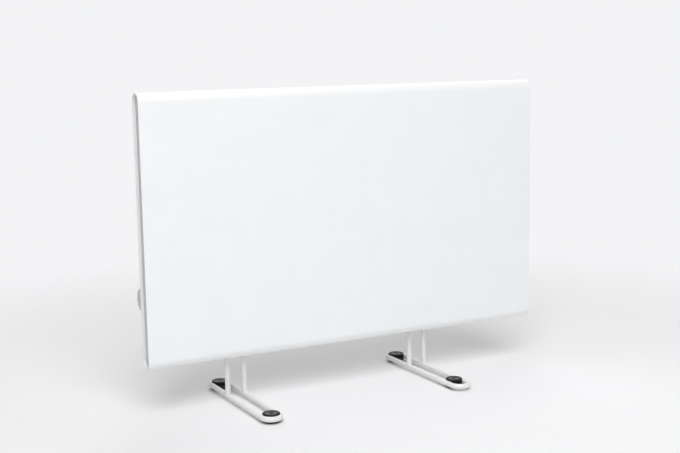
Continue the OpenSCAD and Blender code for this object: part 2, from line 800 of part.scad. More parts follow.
// Nut on the bush, outside the box and inside the dial
module thermostat_nut() {
    color("silver") difference() {
        translate([box_left - nut_thick, dial_axis_y, dial_axis_z]) rotate([0, 90, 0]) {
            cylinder(d = nut_across, h = nut_thick, $fn = 6);
        }
        rod_x(bush_d + 2 * hole_gap, box_left - nut_thick - reach, box_left + reach,
              dial_axis_y, dial_axis_z);
    }
}

// Spindle: turns in the bush and carries the dial
module dial_spindle() {
    x1 = box_left + box_wall + spindle_in - spindle_end_gap;
    color("silver") rod_x(spindle_d, spindle_tip_x, x1, dial_axis_y, dial_axis_z);
}

// Dial: a cup with a hub on the spindle, grip grooves and a pointer line on its face
module thermostat_dial() {
    hub_l = dial_l - nut_thick - bush_over - dial_nut_room + dial_gap;
    color("lightgray") translate([dial_face_x, dial_axis_y, dial_axis_z]) rotate([0, 90, 0]) difference() {
        rotate_extrude() difference() {
            union() {
                square([dial_d / 2 - dial_edge_r, dial_l]);
                translate([0, dial_edge_r]) square([dial_d / 2, dial_l - dial_edge_r]);
                translate([dial_d / 2 - dial_edge_r, dial_edge_r]) circle(dial_edge_r);
            }
            translate([dial_hub_d / 2, dial_wall]) {
                square([dial_d / 2 - dial_wall - dial_hub_d / 2, dial_l]);
            }
            translate([0, hub_l]) square([dial_hub_d / 2 + reach, dial_l]);
            translate([0, spindle_tip_x - dial_face_x]) square([spindle_d / 2 + spindle_gap / 2, dial_l]);
        }
        for (i = [0 : dial_grooves - 1]) {
            rotate([0, 0, i * 360 / dial_grooves]) {
                translate([dial_d / 2 + groove_r / 2, 0, groove_start]) cylinder(r = groove_r, h = dial_l);
            }
        }
        translate([-dial_d / 2 + pointer_in, -pointer_w / 2, -reach]) {
            cube([pointer_l, pointer_w, reach + pointer_depth]);
        }
    }
}

// Grommet: a grooved ring in the back plate round the wires
module wire_grommet() {
    l = sheet_t + 2 * grommet_lip_t;
    lip_d = wire_hole_d + 2 * grommet_lip;
    color("black") translate([wire_x, plate_in_y - grommet_lip_t, wire_z]) rotate([-90, 0, 0]) difference() {
        union() {
            cylinder(d = wire_hole_d - 2 * grommet_play, h = l);
            cylinder(d = lip_d, h = grommet_lip_t);
            translate([0, 0, l - grommet_lip_t]) cylinder(d = lip_d, h = grommet_lip_t);
        }
        translate([0, 0, -reach]) cylinder(d = wire_hole_d - 2 * grommet_wall, h = l + 2 * reach);
    }
}

// Terminal block: a bar with three poles on the back plate, inside the box
module terminal_block() {
    pole = block_w / 3;
    color("ivory") difference() {
        span([block_x, plate_out_y, block_z], [block_x + block_w, plate_out_y + block_d, block_z + block_h]);
        for (i = [0 : 2]) {
            translate([block_x + (i + 0.5) * pole, plate_out_y + block_d / 2, block_z - reach]) {
                cylinder(d = pole_bore_d, h = block_h + 2 * reach);
            }
            rod_y(pole_screw_d, plate_out_y + block_d / 2, plate_out_y + block_d + reach,
                  block_x + (i + 0.5) * pole, block_z + block_h / 2);
        }
        for (i = [1 : 2]) {
            x = block_x + i * pole;
            span([x - pole_groove_w / 2, plate_out_y + block_d - pole_groove, block_z - reach],
                 [x + pole_groove_w / 2, plate_out_y + block_d + reach, block_z + block_h + reach]);
        }
    }
}

// Inlet for the mains cord: a flanged tube in the underside of the box
module cord_inlet() {
    color("whitesmoke") translate([inlet_x, inlet_y, box_z]) difference() {
        union() {
            translate([0, 0, -inlet_drop]) {
                cylinder(d1 = inlet_d - 2 * inlet_taper, d2 = inlet_d, h = inlet_drop);
            }
            cylinder(d = inlet_d, h = box_wall + inlet_in);
            translate([0, 0, -inlet_flange_t]) cylinder(d = inlet_d + 2 * inlet_flange, h = inlet_flange_t);
        }
        translate([0, 0, -inlet_drop - reach]) {
            cylinder(d = cord_bore_d, h = inlet_drop + box_wall + inlet_in + 2 * reach);
        }
    }
}

// A wire through a list of points, with rounded corners
module wire(points) {
    for (i = [0 : len(points) - 2]) {
        a = points[i];
        b = points[i + 1];
        d = b - a;
        l = norm(d);
        translate(a) rotate([0, acos(d[2] / l), atan2(d[1], d[0])]) cylinder(d = wire_d, h = l);
        if (i > 0) {
            translate(a) sphere(d = wire_d);
        }
    }
}

// Short wire: from the element's left pin through the grommet to the terminal block
module element_wire_short() {
    y_in = plate_out_y + block_d / 2;
    x_pole = block_x + block_w / 2;
    color("white") wire([
        [left_pin_x - wire_gap, fin_y, tube_z],
        [wire_x, fin_y, tube_z],
        [wire_x, fin_y, wire_z + wire_up],
        [wire_x, y_in, wire_z + wire_up],
        [x_pole, y_in, wire_z + wire_up],
        [x_pole, y_in, block_z + block_h / 2]
    ]);
}

// Long wire: from the element's right pin, under the element, to the terminal block
module element_wire_long() {
    y_in = plate_out_y + block_d / 2;
    x_pole = block_x + block_w * 5 / 6;
    z_low = tube_z - shield_h / 2 - wire_clear;
    x_far = right_pin_x + wire_gap + wire_bend;
    color("white") wire([
        [right_pin_x + wire_gap, fin_y, tube_z],
        [x_far, fin_y, tube_z],
        [x_far, fin_y, z_low],
        [wire_x, fin_y, z_low],
        [wire_x, fin_y, wire_z - wire_down],
        [wire_x, y_in, wire_z - wire_down],
        [x_pole, y_in, wire_z - wire_down],
        [x_pole, y_in, block_z + block_h / 2]
    ]);
}

// The closed loop of a stand, with a rod of the given diameter
module rod_loop(d) {
    r = run_gap / 2;
    for (s = [-1, 1]) {
        rod_y(d, -loop_span / 2, loop_span / 2, s * r, rod_z);
        translate([0, s * loop_span / 2, rod_z]) rotate([0, 0, s > 0 ? 0 : 180]) {
            rotate_extrude(angle = 180) translate([r, 0]) circle(d = d);
        }
    }
}

// Stand: a closed loop of rod just above the floor, with two uprights welded to its runs
module stand_rod(x) {
    color("whitesmoke") translate([x, 0, 0]) {
        rod_loop(rod_d);
        for (s = [-1, 1]) {
            translate([s * run_gap / 2, upright_y, rod_z]) cylinder(d = rod_d, h = upright_top - rod_z);
        }
    }
}

// Stand bracket: a block on the back plate with a bore for each upright
module stand_bracket(x, z) {
    corner = holder_corner_r;
    color("gainsboro") translate([x, 0, z - holder_h / 2]) difference() {
        union() {
            span([-holder_w / 2, plate_out_y, 0], [holder_w / 2, holder_rear - corner, holder_h]);
            span([-holder_w / 2 + corner, plate_out_y, 0], [holder_w / 2 - corner, holder_rear, holder_h]);
            for (s = [-1, 1]) {
                translate([s * (holder_w / 2 - corner), holder_rear - corner, 0]) {
                    cylinder(r = corner, h = holder_h);
                }
            }
        }
        for (s = [-1, 1]) {
            translate([s * run_gap / 2, upright_y, -reach]) {
                cylinder(d = rod_d + 2 * upright_gap, h = holder_h + 2 * reach);
            }
        }
        rod_y(bolt_d + 2 * hole_gap, plate_out_y - reach, holder_rear + reach, 0, holder_h / 2);
    }
}

// Bolts through the stand brackets
module bracket_bolts() {
    color("silver") at_bolts() {
        rear_screw(bolt_d, bolt_head_d, bolt_head_h, holder_rear, holder_rear - plate_in_y + nut_t, 0, 0);
    }
}

// Square nuts behind the back plate
module bracket_nuts() {
    color("silver") at_bolts() difference() {
        span([-nut_w / 2, plate_in_y - nut_t, -nut_w / 2], [nut_w / 2, plate_in_y, nut_w / 2]);
        rod_y(bolt_d + hole_gap, plate_in_y - nut_t - reach, plate_in_y + reach, 0, 0);
    }
}

// Screws through the cover's flanges
module case_screws() {
    color("silver") at_case_screws() {
        rear_screw(screw_d, head_d, head_h, rear_y, 2 * sheet_t + 2 * screw_over, 0, 0);
    }
}

// Screws that hold the element brackets
module element_screws() {
    color("silver") at_element_screws() {
        rear_screw(screw_d, head_d, head_h, plate_out_y, sheet_t + bracket_t + screw_over, 0, 0);
    }
}

// Cap of a foot: the upper half of the disc that grips the loop, with a rounded edge and a dished top
module foot_cap(place) {
    edge_r = foot_edge_r;
    color("black") difference() {
        translate([place[0], place[1], 0]) difference() {
            rotate_extrude() {
                translate([0, rod_z]) square([foot_d / 2, foot_top_z - edge_r - rod_z]);
                translate([0, rod_z]) square([foot_d / 2 - edge_r, foot_top_z - rod_z]);
                translate([foot_d / 2 - edge_r, foot_top_z - edge_r]) circle(edge_r);
            }
            translate([0, 0, foot_top_z - foot_dish]) cylinder(d = foot_dish_d, h = foot_dish + reach);
            translate([0, 0, foot_seat_z]) cylinder(d = foot_recess_d, h = foot_recess + reach);
            translate([0, 0, rod_z - reach]) cylinder(d = foot_screw_d + 2 * hole_gap, h = foot_top_z);
        }
        translate([place[0], 0, 0]) rod_loop(rod_d + 2 * foot_gap);
    }
}

// Base of a foot: the lower half of the disc, with the pad that stands on the floor
module foot_pad(place) {
    edge_r = pad_edge_r;
    color("black") difference() {
        translate([place[0], place[1], 0]) difference() {
            rotate_extrude() {
                translate([0, pad_t]) square([foot_d / 2, rod_z - pad_t]);
                square([pad_d / 2 - edge_r, rod_z]);
                translate([0, edge_r]) square([pad_d / 2, rod_z - edge_r]);
                translate([pad_d / 2 - edge_r, edge_r]) circle(edge_r);
            }
            translate([0, 0, pad_floor]) cylinder(d = foot_screw_d + 2 * hole_gap, h = rod_z);
        }
        translate([place[0], 0, 0]) rod_loop(rod_d + 2 * foot_gap);
    }
}

// Screws through the feet
module foot_screws() {
    d = foot_recess_d - 2 * foot_head_gap;
    color("dimgray") for (place = foot_places) {
        translate([place[0], place[1], 0]) difference() {
            union() {
                translate([0, 0, foot_screw_z]) {
                    cylinder(d = foot_screw_d, h = foot_seat_z - foot_screw_z + tiny);
                }
                translate([0, 0, foot_seat_z]) cylinder(d = d, h = foot_head_h);
            }
            translate([0, 0, foot_seat_z + foot_head_h]) cross_recess(d);
        }
    }
}

front_cover();
back_plate();
end_cap(-1);  // end_cap_left
end_cap(1);  // end_cap_right
heating_element();
element_fins();
element_bracket(-1);  // element_bracket_left
element_bracket(1);  // element_bracket_right
heat_shield();
shield_rivets();
thermal_cutout();
cutout_screws();
control_box();
box_screws();
thermostat_body();
thermostat_nut();
dial_spindle();
thermostat_dial();
wire_grommet();
terminal_block();
cord_inlet();
element_wire_short();
element_wire_long();
stand_rod(left_stand_x);  // stand_rod_left
stand_rod(right_stand_x);  // stand_rod_right
stand_bracket(left_stand_x, lower_z);  // stand_bracket_left_lower
stand_bracket(left_stand_x, upper_z);  // stand_bracket_left_upper
stand_bracket(right_stand_x, lower_z);  // stand_bracket_right_lower
stand_bracket(right_stand_x, upper_z);  // stand_bracket_right_upper
bracket_bolts();
bracket_nuts();
case_screws();
element_screws();
foot_cap(foot_places[0]);  // foot_cap_left_front
foot_cap(foot_places[1]);  // foot_cap_left_rear
foot_cap(foot_places[2]);  // foot_cap_right_front
foot_cap(foot_places[3]);  // foot_cap_right_rear
foot_pad(foot_places[0]);  // foot_pad_left_front
foot_pad(foot_places[1]);  // foot_pad_left_rear
foot_pad(foot_places[2]);  // foot_pad_right_front
foot_pad(foot_places[3]);  // foot_pad_right_rear
foot_screws();
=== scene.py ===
"""Slim convector heater on two bent rod stands: finished surfaces, materials and a plain studio.

Everything is in metres, +Z up, +X along the casing, and the casing's front faces -Y.
"""

import math

import bpy
import numpy as np
from bpy.props import FloatProperty, FloatVectorProperty, IntProperty, PointerProperty
from bpy.types import NodeSocket, Operator, Panel, PropertyGroup
from mathutils import Matrix, Vector


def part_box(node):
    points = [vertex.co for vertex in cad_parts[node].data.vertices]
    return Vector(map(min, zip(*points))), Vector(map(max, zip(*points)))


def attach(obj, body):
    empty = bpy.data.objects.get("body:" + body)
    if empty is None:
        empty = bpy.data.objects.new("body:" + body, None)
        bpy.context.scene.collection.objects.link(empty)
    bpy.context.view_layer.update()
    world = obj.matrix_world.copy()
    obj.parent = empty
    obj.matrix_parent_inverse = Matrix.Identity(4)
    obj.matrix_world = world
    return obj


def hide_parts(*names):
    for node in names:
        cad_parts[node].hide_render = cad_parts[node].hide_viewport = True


bl_info = {
    "name": "Convector Heater",
    "version": (1, 0, 0),
    "blender": (4, 5, 0),
    "location": "View3D > Sidebar > Heater",
    "description": "Dresses a slim convector heater and sets it in a plain studio",
    "category": "Add Mesh",
}

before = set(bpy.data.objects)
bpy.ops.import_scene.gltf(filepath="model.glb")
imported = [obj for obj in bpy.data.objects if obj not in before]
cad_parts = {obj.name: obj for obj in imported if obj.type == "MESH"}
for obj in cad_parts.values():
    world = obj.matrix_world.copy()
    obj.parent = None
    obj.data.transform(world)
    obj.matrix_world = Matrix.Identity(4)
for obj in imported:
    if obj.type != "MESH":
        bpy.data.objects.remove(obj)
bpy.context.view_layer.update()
MM = 0.001
HEATER = "heater"
DIAL = "dial"
QUARTER = math.pi / 2
SIDES = ("left", "right")


# Sizes, colours and lights that a user may change

def length(name, description, default):
    """A length, whose default is given in millimetres."""
    return FloatProperty(name=name, description=description, default=default * MM, unit="LENGTH")


def angle(name, description, default):
    """An angle, whose default is given in degrees."""
    return FloatProperty(name=name, description=description, default=math.radians(default),
                         subtype="ANGLE")


def power(name, description, default):
    """The power of a light in watts."""
    return FloatProperty(name=name, description=description, default=default, min=0, unit="POWER")


def colour(name, description, *default):
    """A colour, whose default is given as red, green and blue."""
    return FloatVectorProperty(name=name, description=description, default=default, size=3,
                               subtype="COLOR", min=0, max=1)


class HeaterSizes(PropertyGroup):
    """Sizes that the frame's boxes don't give by themselves."""

    sheet_t: length("Sheet", "Thickness of the cover's steel sheet with its coat", 1.2)
    flange_h: length("Flange", "Height of the flange behind each bend of the cover", 18)
    cut_edge_r: length("Cut edge", "Radius that the coat gives the sheet's cut edges", 0.35)
    cap_wall: length("End cap wall", "Thickness of an end cap's face and rim", 1.6)
    cap_edge_r: length("End cap edge", "Radius round an end cap's face", 0.8)
    rod_d: length("Rod", "Diameter of the stands' rod", 7.5)
    rod_end_r: length("Rod end", "Radius round the uprights' upper ends", 0.8)
    holder_wall: length("Bracket wall", "Wall of a stand bracket behind the uprights", 3)
    weld_r: length("Weld", "Radius of the weld where an upright meets its run", 1.8)
    dial_wall: length("Dial wall", "Wall thickness of the dial", 1.8)
    dial_edge_r: length("Dial edge", "Radius round the dial's face", 1.2)
    dial_dish: length("Dial dish", "Depth of the dished middle of the dial's face", 0.5)
    dial_grooves: IntProperty(
        name="Dial grooves", description="Number of grip grooves round the dial", default=30, min=6)
    groove_depth: length("Groove depth", "Depth of the dial's grip grooves", 0.55)
    groove_start: length("Groove start", "Distance of the grooves from the dial's face", 2.4)
    groove_fade: length("Groove fade", "Length over which a groove deepens", 2)
    hub_d: length("Dial hub", "Diameter of the hub inside the dial", 10.4)
    hub_gap: length("Hub gap", "Distance of the hub's end from the dial's rear", 4.4)
    bore_floor: length("Bore floor", "Distance of the bore's end from the dial's wall", 0.6)
    spindle_d: length("Spindle", "Diameter of the thermostat's spindle", 6)
    mark_l: length("Mark length", "Length of the dial's mark", 7)
    mark_w: length("Mark width", "Width of the dial's mark", 1)
    mark_at: length("Mark place", "Distance of the mark's middle from the dial's axis", 10.5)
    number_h: length("Number height", "Height of the numbers on the dial", 3.6)
    number_ring: length("Number ring", "Radius of the ring that the numbers stand on", 11.4)
    number_step: angle("Number step", "Angle from one number to the next", 45)
    number_count: IntProperty(
        name="Settings", description="Number of settings on the dial", default=6, min=1)
    lead_d: length("Lead", "Diameter of the inner leads", 2.4)
    lead_bend: length("Lead bend", "Radius of the leads' bends at their middle", 2.6)
    lead_over: length("Upper lead", "Height of the short lead over the grommet's middle", 2)
    lead_under: length("Lower lead", "Depth of the long lead under the grommet's middle", 2.5)


class HeaterColours(PropertyGroup):
    """Colours of the heater's finishes."""

    casing: colour("Casing", "Powder coat of the casing", 0.872, 0.882, 0.890)
    plate: colour("Back plate", "Powder coat of the back plate", 0.886, 0.892, 0.896)
    stand: colour("Stands", "Powder coat of the stands", 0.815, 0.810, 0.792)
    box: colour("Control box", "Plastic of the control box", 0.820, 0.825, 0.822)
    # The dial's grey is partly painted shade: it is set darker so that its left-facing side reads as
    # shaded.
    dial: colour("Dial", "Plastic of the dial", 0.600, 0.606, 0.612)
    # The end caps' grey is partly painted shade: it is set darker than their plastic so that their recessed
    # faces read as shaded.
    cap: colour("End caps", "Plastic of the end caps", 0.600, 0.610, 0.616)
    bracket: colour("Stand brackets", "Plastic of the stand brackets", 0.780, 0.780, 0.765)
    foot: colour("Feet", "Plastic of the feet's caps", 0.010, 0.010, 0.012)
    # The feet's dish colour is a painted sheen: a lighter grey that stands in for the highlight on the
    # dish.
    foot_dish: colour("Foot dish", "Rubbed plastic in the feet's dishes", 0.112, 0.111, 0.116)
    rubber: colour("Pads", "Rubber of the feet's pads", 0.018, 0.018, 0.019)
    zinc: colour("Zinc", "Zinc plate of screws and brackets", 0.560, 0.575, 0.590)
    # The screws' near-black is partly their own dark steel and partly painted shade of the feet's recesses.
    blackened: colour("Dark steel", "Blackened steel of the feet's screws", 0.050, 0.050, 0.053)
    steel: colour("Element steel", "Heated steel of the element's tube", 0.330, 0.300, 0.270)
    aluminium: colour("Aluminium", "Aluminium of the fins and the shield", 0.740, 0.750, 0.760)
    block: colour("Terminal block", "Plastic of the terminal block", 0.760, 0.740, 0.660)
    phenolic: colour("Thermostat", "Dark plastic of the thermostat", 0.060, 0.048, 0.042)
    wire: colour("Wire", "Silicone skin of the wires", 0.780, 0.770, 0.740)
    ink: colour("Ink", "Ink of the mark and numbers on the dial", 0.380, 0.385, 0.395)


class HeaterStage(PropertyGroup):
    """The studio round the heater and the camera in front of it."""

    floor: colour("Floor", "Colour of the floor", 0.881, 0.883, 0.892)
    backdrop: colour("Backdrop", "Colour of the backdrop", 0.900, 0.904, 0.916)
    floor_r: length("Floor radius", "Radius of the floor", 7000)
    fade_from: length("Fade from", "Distance where the floor starts to fade into the backdrop", 550)
    fade_to: length("Fade to", "Distance where the floor has become the backdrop", 1250)
    ambient: FloatProperty(
        name="Ambient", description="Strength of the light from all round", default=0.20, min=0)
    key_power: power("Key light", "Power of the light high in front on the left", 157)
    fill_power: power("Fill light", "Power of the light lower in front on the left", 43)
    top_power: power("Top light", "Power of the light overhead", 43)
    back_power: power("Back light", "Power of the light high behind on the right", 62)
    lamp_size: length("Lamp size", "Width of each light", 3600)
    lamp_distance: length("Lamp distance", "Distance of each light from the heater", 5000)
    focal: FloatProperty(
        name="Focal length", description="Focal length of the camera's lens in millimetres",
        default=62.89, min=10)
    camera_at: FloatVectorProperty(
        name="Camera", description="Place of the camera", subtype="TRANSLATION", size=3,
        default=(-0.7948, -1.4857, 0.4913), unit="LENGTH")
    camera_yaw: angle("Yaw", "Turn of the camera to the right of +Y", 27.55)
    camera_pitch: angle("Pitch", "Tilt of the camera below the horizon", 8.59)
    camera_roll: angle("Roll", "Roll of the camera", -1.015)


# Surfaces: stacks of rings, worked out as whole arrays

def skin(rings, closed=False):
    """One closed shell over a stack of rings, given as an array of ring, point and coordinate.

    Neighbouring rings are joined by quads. The first and the last ring are closed by a fan round
    their middle, or joined to each other where the stack is closed. The faces point outwards: the
    shell is turned over if its volume, the sum of its faces' volumes over the origin, is negative.
    """
    count, size = rings.shape[:2]
    points = rings.reshape(-1, 3)
    around = np.arange(size)
    beside = (around + 1) % size
    here = np.arange(count if closed else count - 1)[:, None] * size
    there = (here + size) % (count * size)
    quads = np.stack([here + around, here + beside, there + beside, there + around], -1).reshape(-1, 4)
    fans = np.zeros((0, 3), int)
    if not closed:
        last = (count - 1) * size
        points = np.concatenate([points, [rings[0].mean(0), rings[-1].mean(0)]])
        first_fan = np.stack([around * 0 + count * size, beside, around], -1)
        last_fan = np.stack([around * 0 + count * size + 1, last + around, last + beside], -1)
        fans = np.concatenate([first_fan, last_fan])
    triangles = np.concatenate([quads[:, [0, 1, 2]], quads[:, [0, 2, 3]], fans])
    a, b, c = (points[triangles[:, i]] for i in range(3))
    if (a * np.cross(b, c)).sum() < 0:
        quads = quads[:, ::-1]
        fans = fans[:, ::-1]
    return points, quads, fans


def make_piece(name, shells, finish, body=HEATER, sharp=math.radians(35)):
    """One object of one or more closed shells, smooth but for edges over the sharp angle."""
    offset = 0
    points, corners, sizes = [], [], []
    for shell_points, quads, fans in shells:
        points.append(shell_points)
        corners += [(quads + offset).ravel(), (fans + offset).ravel()]
        sizes += [np.full(len(quads), 4), np.full(len(fans), 3)]
        offset += len(shell_points)
    points, corners, sizes = (np.concatenate(part) for part in (points, corners, sizes))
    mesh = bpy.data.meshes.new(name)
    mesh.vertices.add(len(points))
    mesh.vertices.foreach_set("co", points.ravel())
    mesh.loops.add(len(corners))
    mesh.loops.foreach_set("vertex_index", corners)
    mesh.polygons.add(len(sizes))
    mesh.polygons.foreach_set("loop_start", np.cumsum(sizes) - sizes)
    mesh.polygons.foreach_set("use_smooth", np.ones(len(sizes), bool))
    mesh.update(calc_edges=True)
    mesh.set_sharp_from_angle(angle=sharp)
    if mesh.validate():
        raise RuntimeError(f"the mesh of {name} has faults")
    return place_piece(name, mesh, finish, body)


def place_piece(name, mesh, finish, body):
    """Links a mesh as a piece with the finish of a material slot, riding on a body."""
    piece = bpy.data.objects.new(name, mesh)
    bpy.context.scene.collection.objects.link(piece)
    mesh.materials.append(finish_of(finish))
    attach(piece, body)
    return piece


def edges(node):
    """The low and the high corner of a node's box as two arrays."""
    low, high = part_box(node)
    return np.array(low), np.array(high)


def quarter(steps):
    """Sine and 1 - cosine of a quarter turn in even steps."""
    turn = np.linspace(0, QUARTER, steps)
    return np.sin(turn), 1 - np.cos(turn)


def circle(steps):
    """Cosine and sine at even steps round a circle."""
    turn = np.linspace(0, 2 * math.pi, steps, endpoint=False)
    return np.cos(turn), np.sin(turn)


def rounded_rectangle(half_a, half_b, radius, steps=5):
    """Points round a rectangle whose corners are quarter circles, as pairs of coordinates."""
    sine, short = quarter(steps)
    corner = radius * np.stack([1 - short, sine], -1) + [half_a - radius, half_b - radius]
    back = corner[::-1]
    return np.concatenate([corner, back * [-1, 1], -corner, back * [1, -1]])


def lathe(profile, foot, steps=32):
    """A profile of radius and height, turned round the upright axis through its foot."""
    cosine, sine = circle(steps)
    ring = np.stack([-sine, cosine, np.zeros(steps)], -1)
    radius, height = np.array(profile, float).T[:, :, None, None]
    return foot + radius * ring + height * np.array([0.0, 0.0, 1.0])


def tube(path, across, radius, steps=32):
    """A circle carried along a level path: at each point it stands on the unit vector square to
    the path and on the vertical."""
    cosine, sine = (wave[None, :, None] for wave in circle(steps))
    return path[:, None] + radius * (cosine * across[:, None] + sine * np.array([0.0, 0.0, 1.0]))


def bent_tube(corners, bend, radius, bend_steps=9, steps=24):
    """A round tube along straight runs that are joined by quarter bends.

    In a bend the path's point is the corner, less the bend's radius along the run before it, plus
    the radius times the sine of the turn along that run and 1 less the cosine along the run after
    it. The two unit vectors square to the path turn with it, so the tube never twists.
    """
    around = [wave[:, None] for wave in circle(steps)]

    def circles(centres, side, up):
        """A circle round each centre on its two unit vectors."""
        return centres[:, None] + radius * (around[0] * side[:, None] + around[1] * up[:, None])

    corners = np.array(corners, float)
    runs = np.diff(corners, axis=0)
    runs /= np.linalg.norm(runs, axis=1)[:, None]
    side = np.cross(runs[:1], runs[1:2])
    up = np.cross(runs[:1], side)
    sine, short = (wave[:, None] for wave in quarter(bend_steps))
    cosine = 1 - short
    rings = [circles(corners[:1], side, up)]
    for corner, before, after in zip(corners[1:-1], runs[:-1], runs[1:]):
        path = corner + bend * ((sine - 1) * before + short * after)
        turned = []
        for vector in (side[-1], up[-1]):
            along, ahead = vector @ before, vector @ after
            turned.append(vector - along * before - ahead * after
                          + along * (cosine * before + sine * after)
                          + ahead * (cosine * after - sine * before))
        side, up = turned
        rings.append(circles(path, side, up))
    rings.append(circles(corners[-1:], side[-1:], up[-1:]))
    return skin(np.concatenate(rings))


# Effects that materials share, as shader node groups

MIX_SHARE, MIX_FIRST, MIX_SECOND, MIX_RESULT = 0, 6, 7, 2  # sockets of a mix of two colours


def add(tree, kind, at, inputs=None, **settings):
    """A node with its settings, whose inputs take values or are linked to other nodes' sockets."""
    node = tree.nodes.new(kind)
    node.location = at
    for key, value in settings.items():
        setattr(node, key, value)
    for key, value in (inputs or {}).items():
        if isinstance(value, NodeSocket):
            tree.links.new(value, node.inputs[key])
        else:
            node.inputs[key].default_value = value
    return node


def empty_tree(owner):
    """The node tree of a new material or world, without the nodes that it comes with."""
    owner.use_nodes = True
    owner.node_tree.nodes.clear()
    return owner.node_tree


def noise(tree, vector, scale, detail, at):
    """A noise texture, whose scale may be a value or a socket."""
    inputs = {"Vector": vector, "Scale": scale, "Detail": detail}
    return add(tree, "ShaderNodeTexNoise", at, inputs).outputs["Fac"]


def math_node(tree, operation, at, *values):
    """A sum, product or the like of sockets or values."""
    return add(tree, "ShaderNodeMath", at, dict(enumerate(values)), operation=operation).outputs[0]


def ramp(tree, value, low, high, at):
    """A value stretched so that low becomes 0 and high becomes 1, with soft ends."""
    inputs = {"Value": value, "From Min": low, "From Max": high}
    return add(tree, "ShaderNodeMapRange", at, inputs,
               interpolation_type="SMOOTHSTEP").outputs["Result"]


def blend(tree, share, first, second, at):
    """A mix of two colours by a share; each is a socket or red, green, blue and 1."""
    inputs = {MIX_SHARE: share, MIX_FIRST: first, MIX_SECOND: second}
    return add(tree, "ShaderNodeMix", at, inputs, data_type="RGBA").outputs[MIX_RESULT]


def orange_peel(tree, vector, scale, wave_scale=0.03, wave_height=0.8):
    """Powder coat: soft dimples about 1/scale across on a slow waviness; the tone drifts slowly."""
    dimples = noise(tree, vector, scale, detail=1.0, at=(-500, 200))
    slow = math_node(tree, "MULTIPLY", (-650, -100), scale, wave_scale)
    waves = noise(tree, vector, slow, detail=2.0, at=(-500, -100))
    part = math_node(tree, "MULTIPLY", (-250, -100), waves, wave_height)
    height = math_node(tree, "ADD", (0, 100), dimples, part)
    return ramp(tree, waves, low=0.3, high=0.7, at=(0, -200)), height


def mould_grain(tree, vector, scale, drift_scale=0.015):
    """Moulded plastic: a fine spark-eroded grain of cells, and a slow drift of its tone."""
    cells = add(tree, "ShaderNodeTexVoronoi", (-500, 200), {"Vector": vector, "Scale": scale},
                feature="SMOOTH_F1")
    fine = noise(tree, vector, scale, detail=3.0, at=(-500, -50))
    height = math_node(tree, "ADD", (-200, 100), cells.outputs["Distance"], fine)
    slow = math_node(tree, "MULTIPLY", (-650, -250), scale, drift_scale)
    drift = noise(tree, vector, slow, detail=3.0, at=(-500, -250))
    return ramp(tree, drift, low=0.3, high=0.7, at=(0, -200)), height


def rolled_grain(tree, vector, scale, line_squeeze=0.03, smudge_scale=0.05):
    """Rolled sheet: fine lines drawn out along X, and smudges that change the tone."""
    stretch = add(tree, "ShaderNodeMapping", (-650, 200),
                  {"Vector": vector, "Scale": (line_squeeze, 1.0, 1.0)})
    lines = noise(tree, stretch.outputs["Vector"], scale, detail=2.0, at=(-450, 200))
    slow = math_node(tree, "MULTIPLY", (-650, -150), scale, smudge_scale)
    smudges = noise(tree, vector, slow, detail=4.0, at=(-450, -150))
    tone = math_node(tree, "ADD", (-200, -50), lines, smudges)
    return ramp(tree, tone, low=0.75, high=1.25, at=(0, -100)), lines


def zinc_bloom(tree, vector, scale, grain_scale=4.0):
    """Zinc plate: cloudy flakes of slightly different brightness with a faint grain."""
    flakes = add(tree, "ShaderNodeTexVoronoi", (-500, 200), {"Vector": vector, "Scale": scale},
                 feature="F1")
    split = add(tree, "ShaderNodeSeparateColor", (-300, 250), {"Color": flakes.outputs["Color"]})
    fast = math_node(tree, "MULTIPLY", (-650, -100), scale, grain_scale)
    grain = noise(tree, vector, fast, detail=3.0, at=(-500, -100))
    tone = math_node(tree, "ADD", (-100, 100), split.outputs["Red"], grain)
    return ramp(tree, tone, low=0.3, high=1.7, at=(100, 100)), grain


def texture_group(build):
    """The node group of one of the four textures above, built when it is first asked for: it
    takes a vector and a scale, and puts out a tone from 0 to 1 and a height."""
    if build.__name__ in bpy.data.node_groups:
        return bpy.data.node_groups[build.__name__]
    tree = bpy.data.node_groups.new(build.__name__, "ShaderNodeTree")
    for label, way, kind in (("Vector", "INPUT", "NodeSocketVector"),
                             ("Scale", "INPUT", "NodeSocketFloat"),
                             ("Tone", "OUTPUT", "NodeSocketFloat"),
                             ("Height", "OUTPUT", "NodeSocketFloat")):
        tree.interface.new_socket(label, in_out=way, socket_type=kind)
    source = add(tree, "NodeGroupInput", (-800, 0))
    tone, height = build(tree, source.outputs["Vector"], source.outputs["Scale"])
    add(tree, "NodeGroupOutput", (600, 0), {"Tone": tone, "Height": height})
    return tree


# Materials

# Each finish: its texture, the dimples to the metre, its colour in HeaterColours, its roughness,
# the height of its bumps in millimetres, and what isn't surface_material's usual value

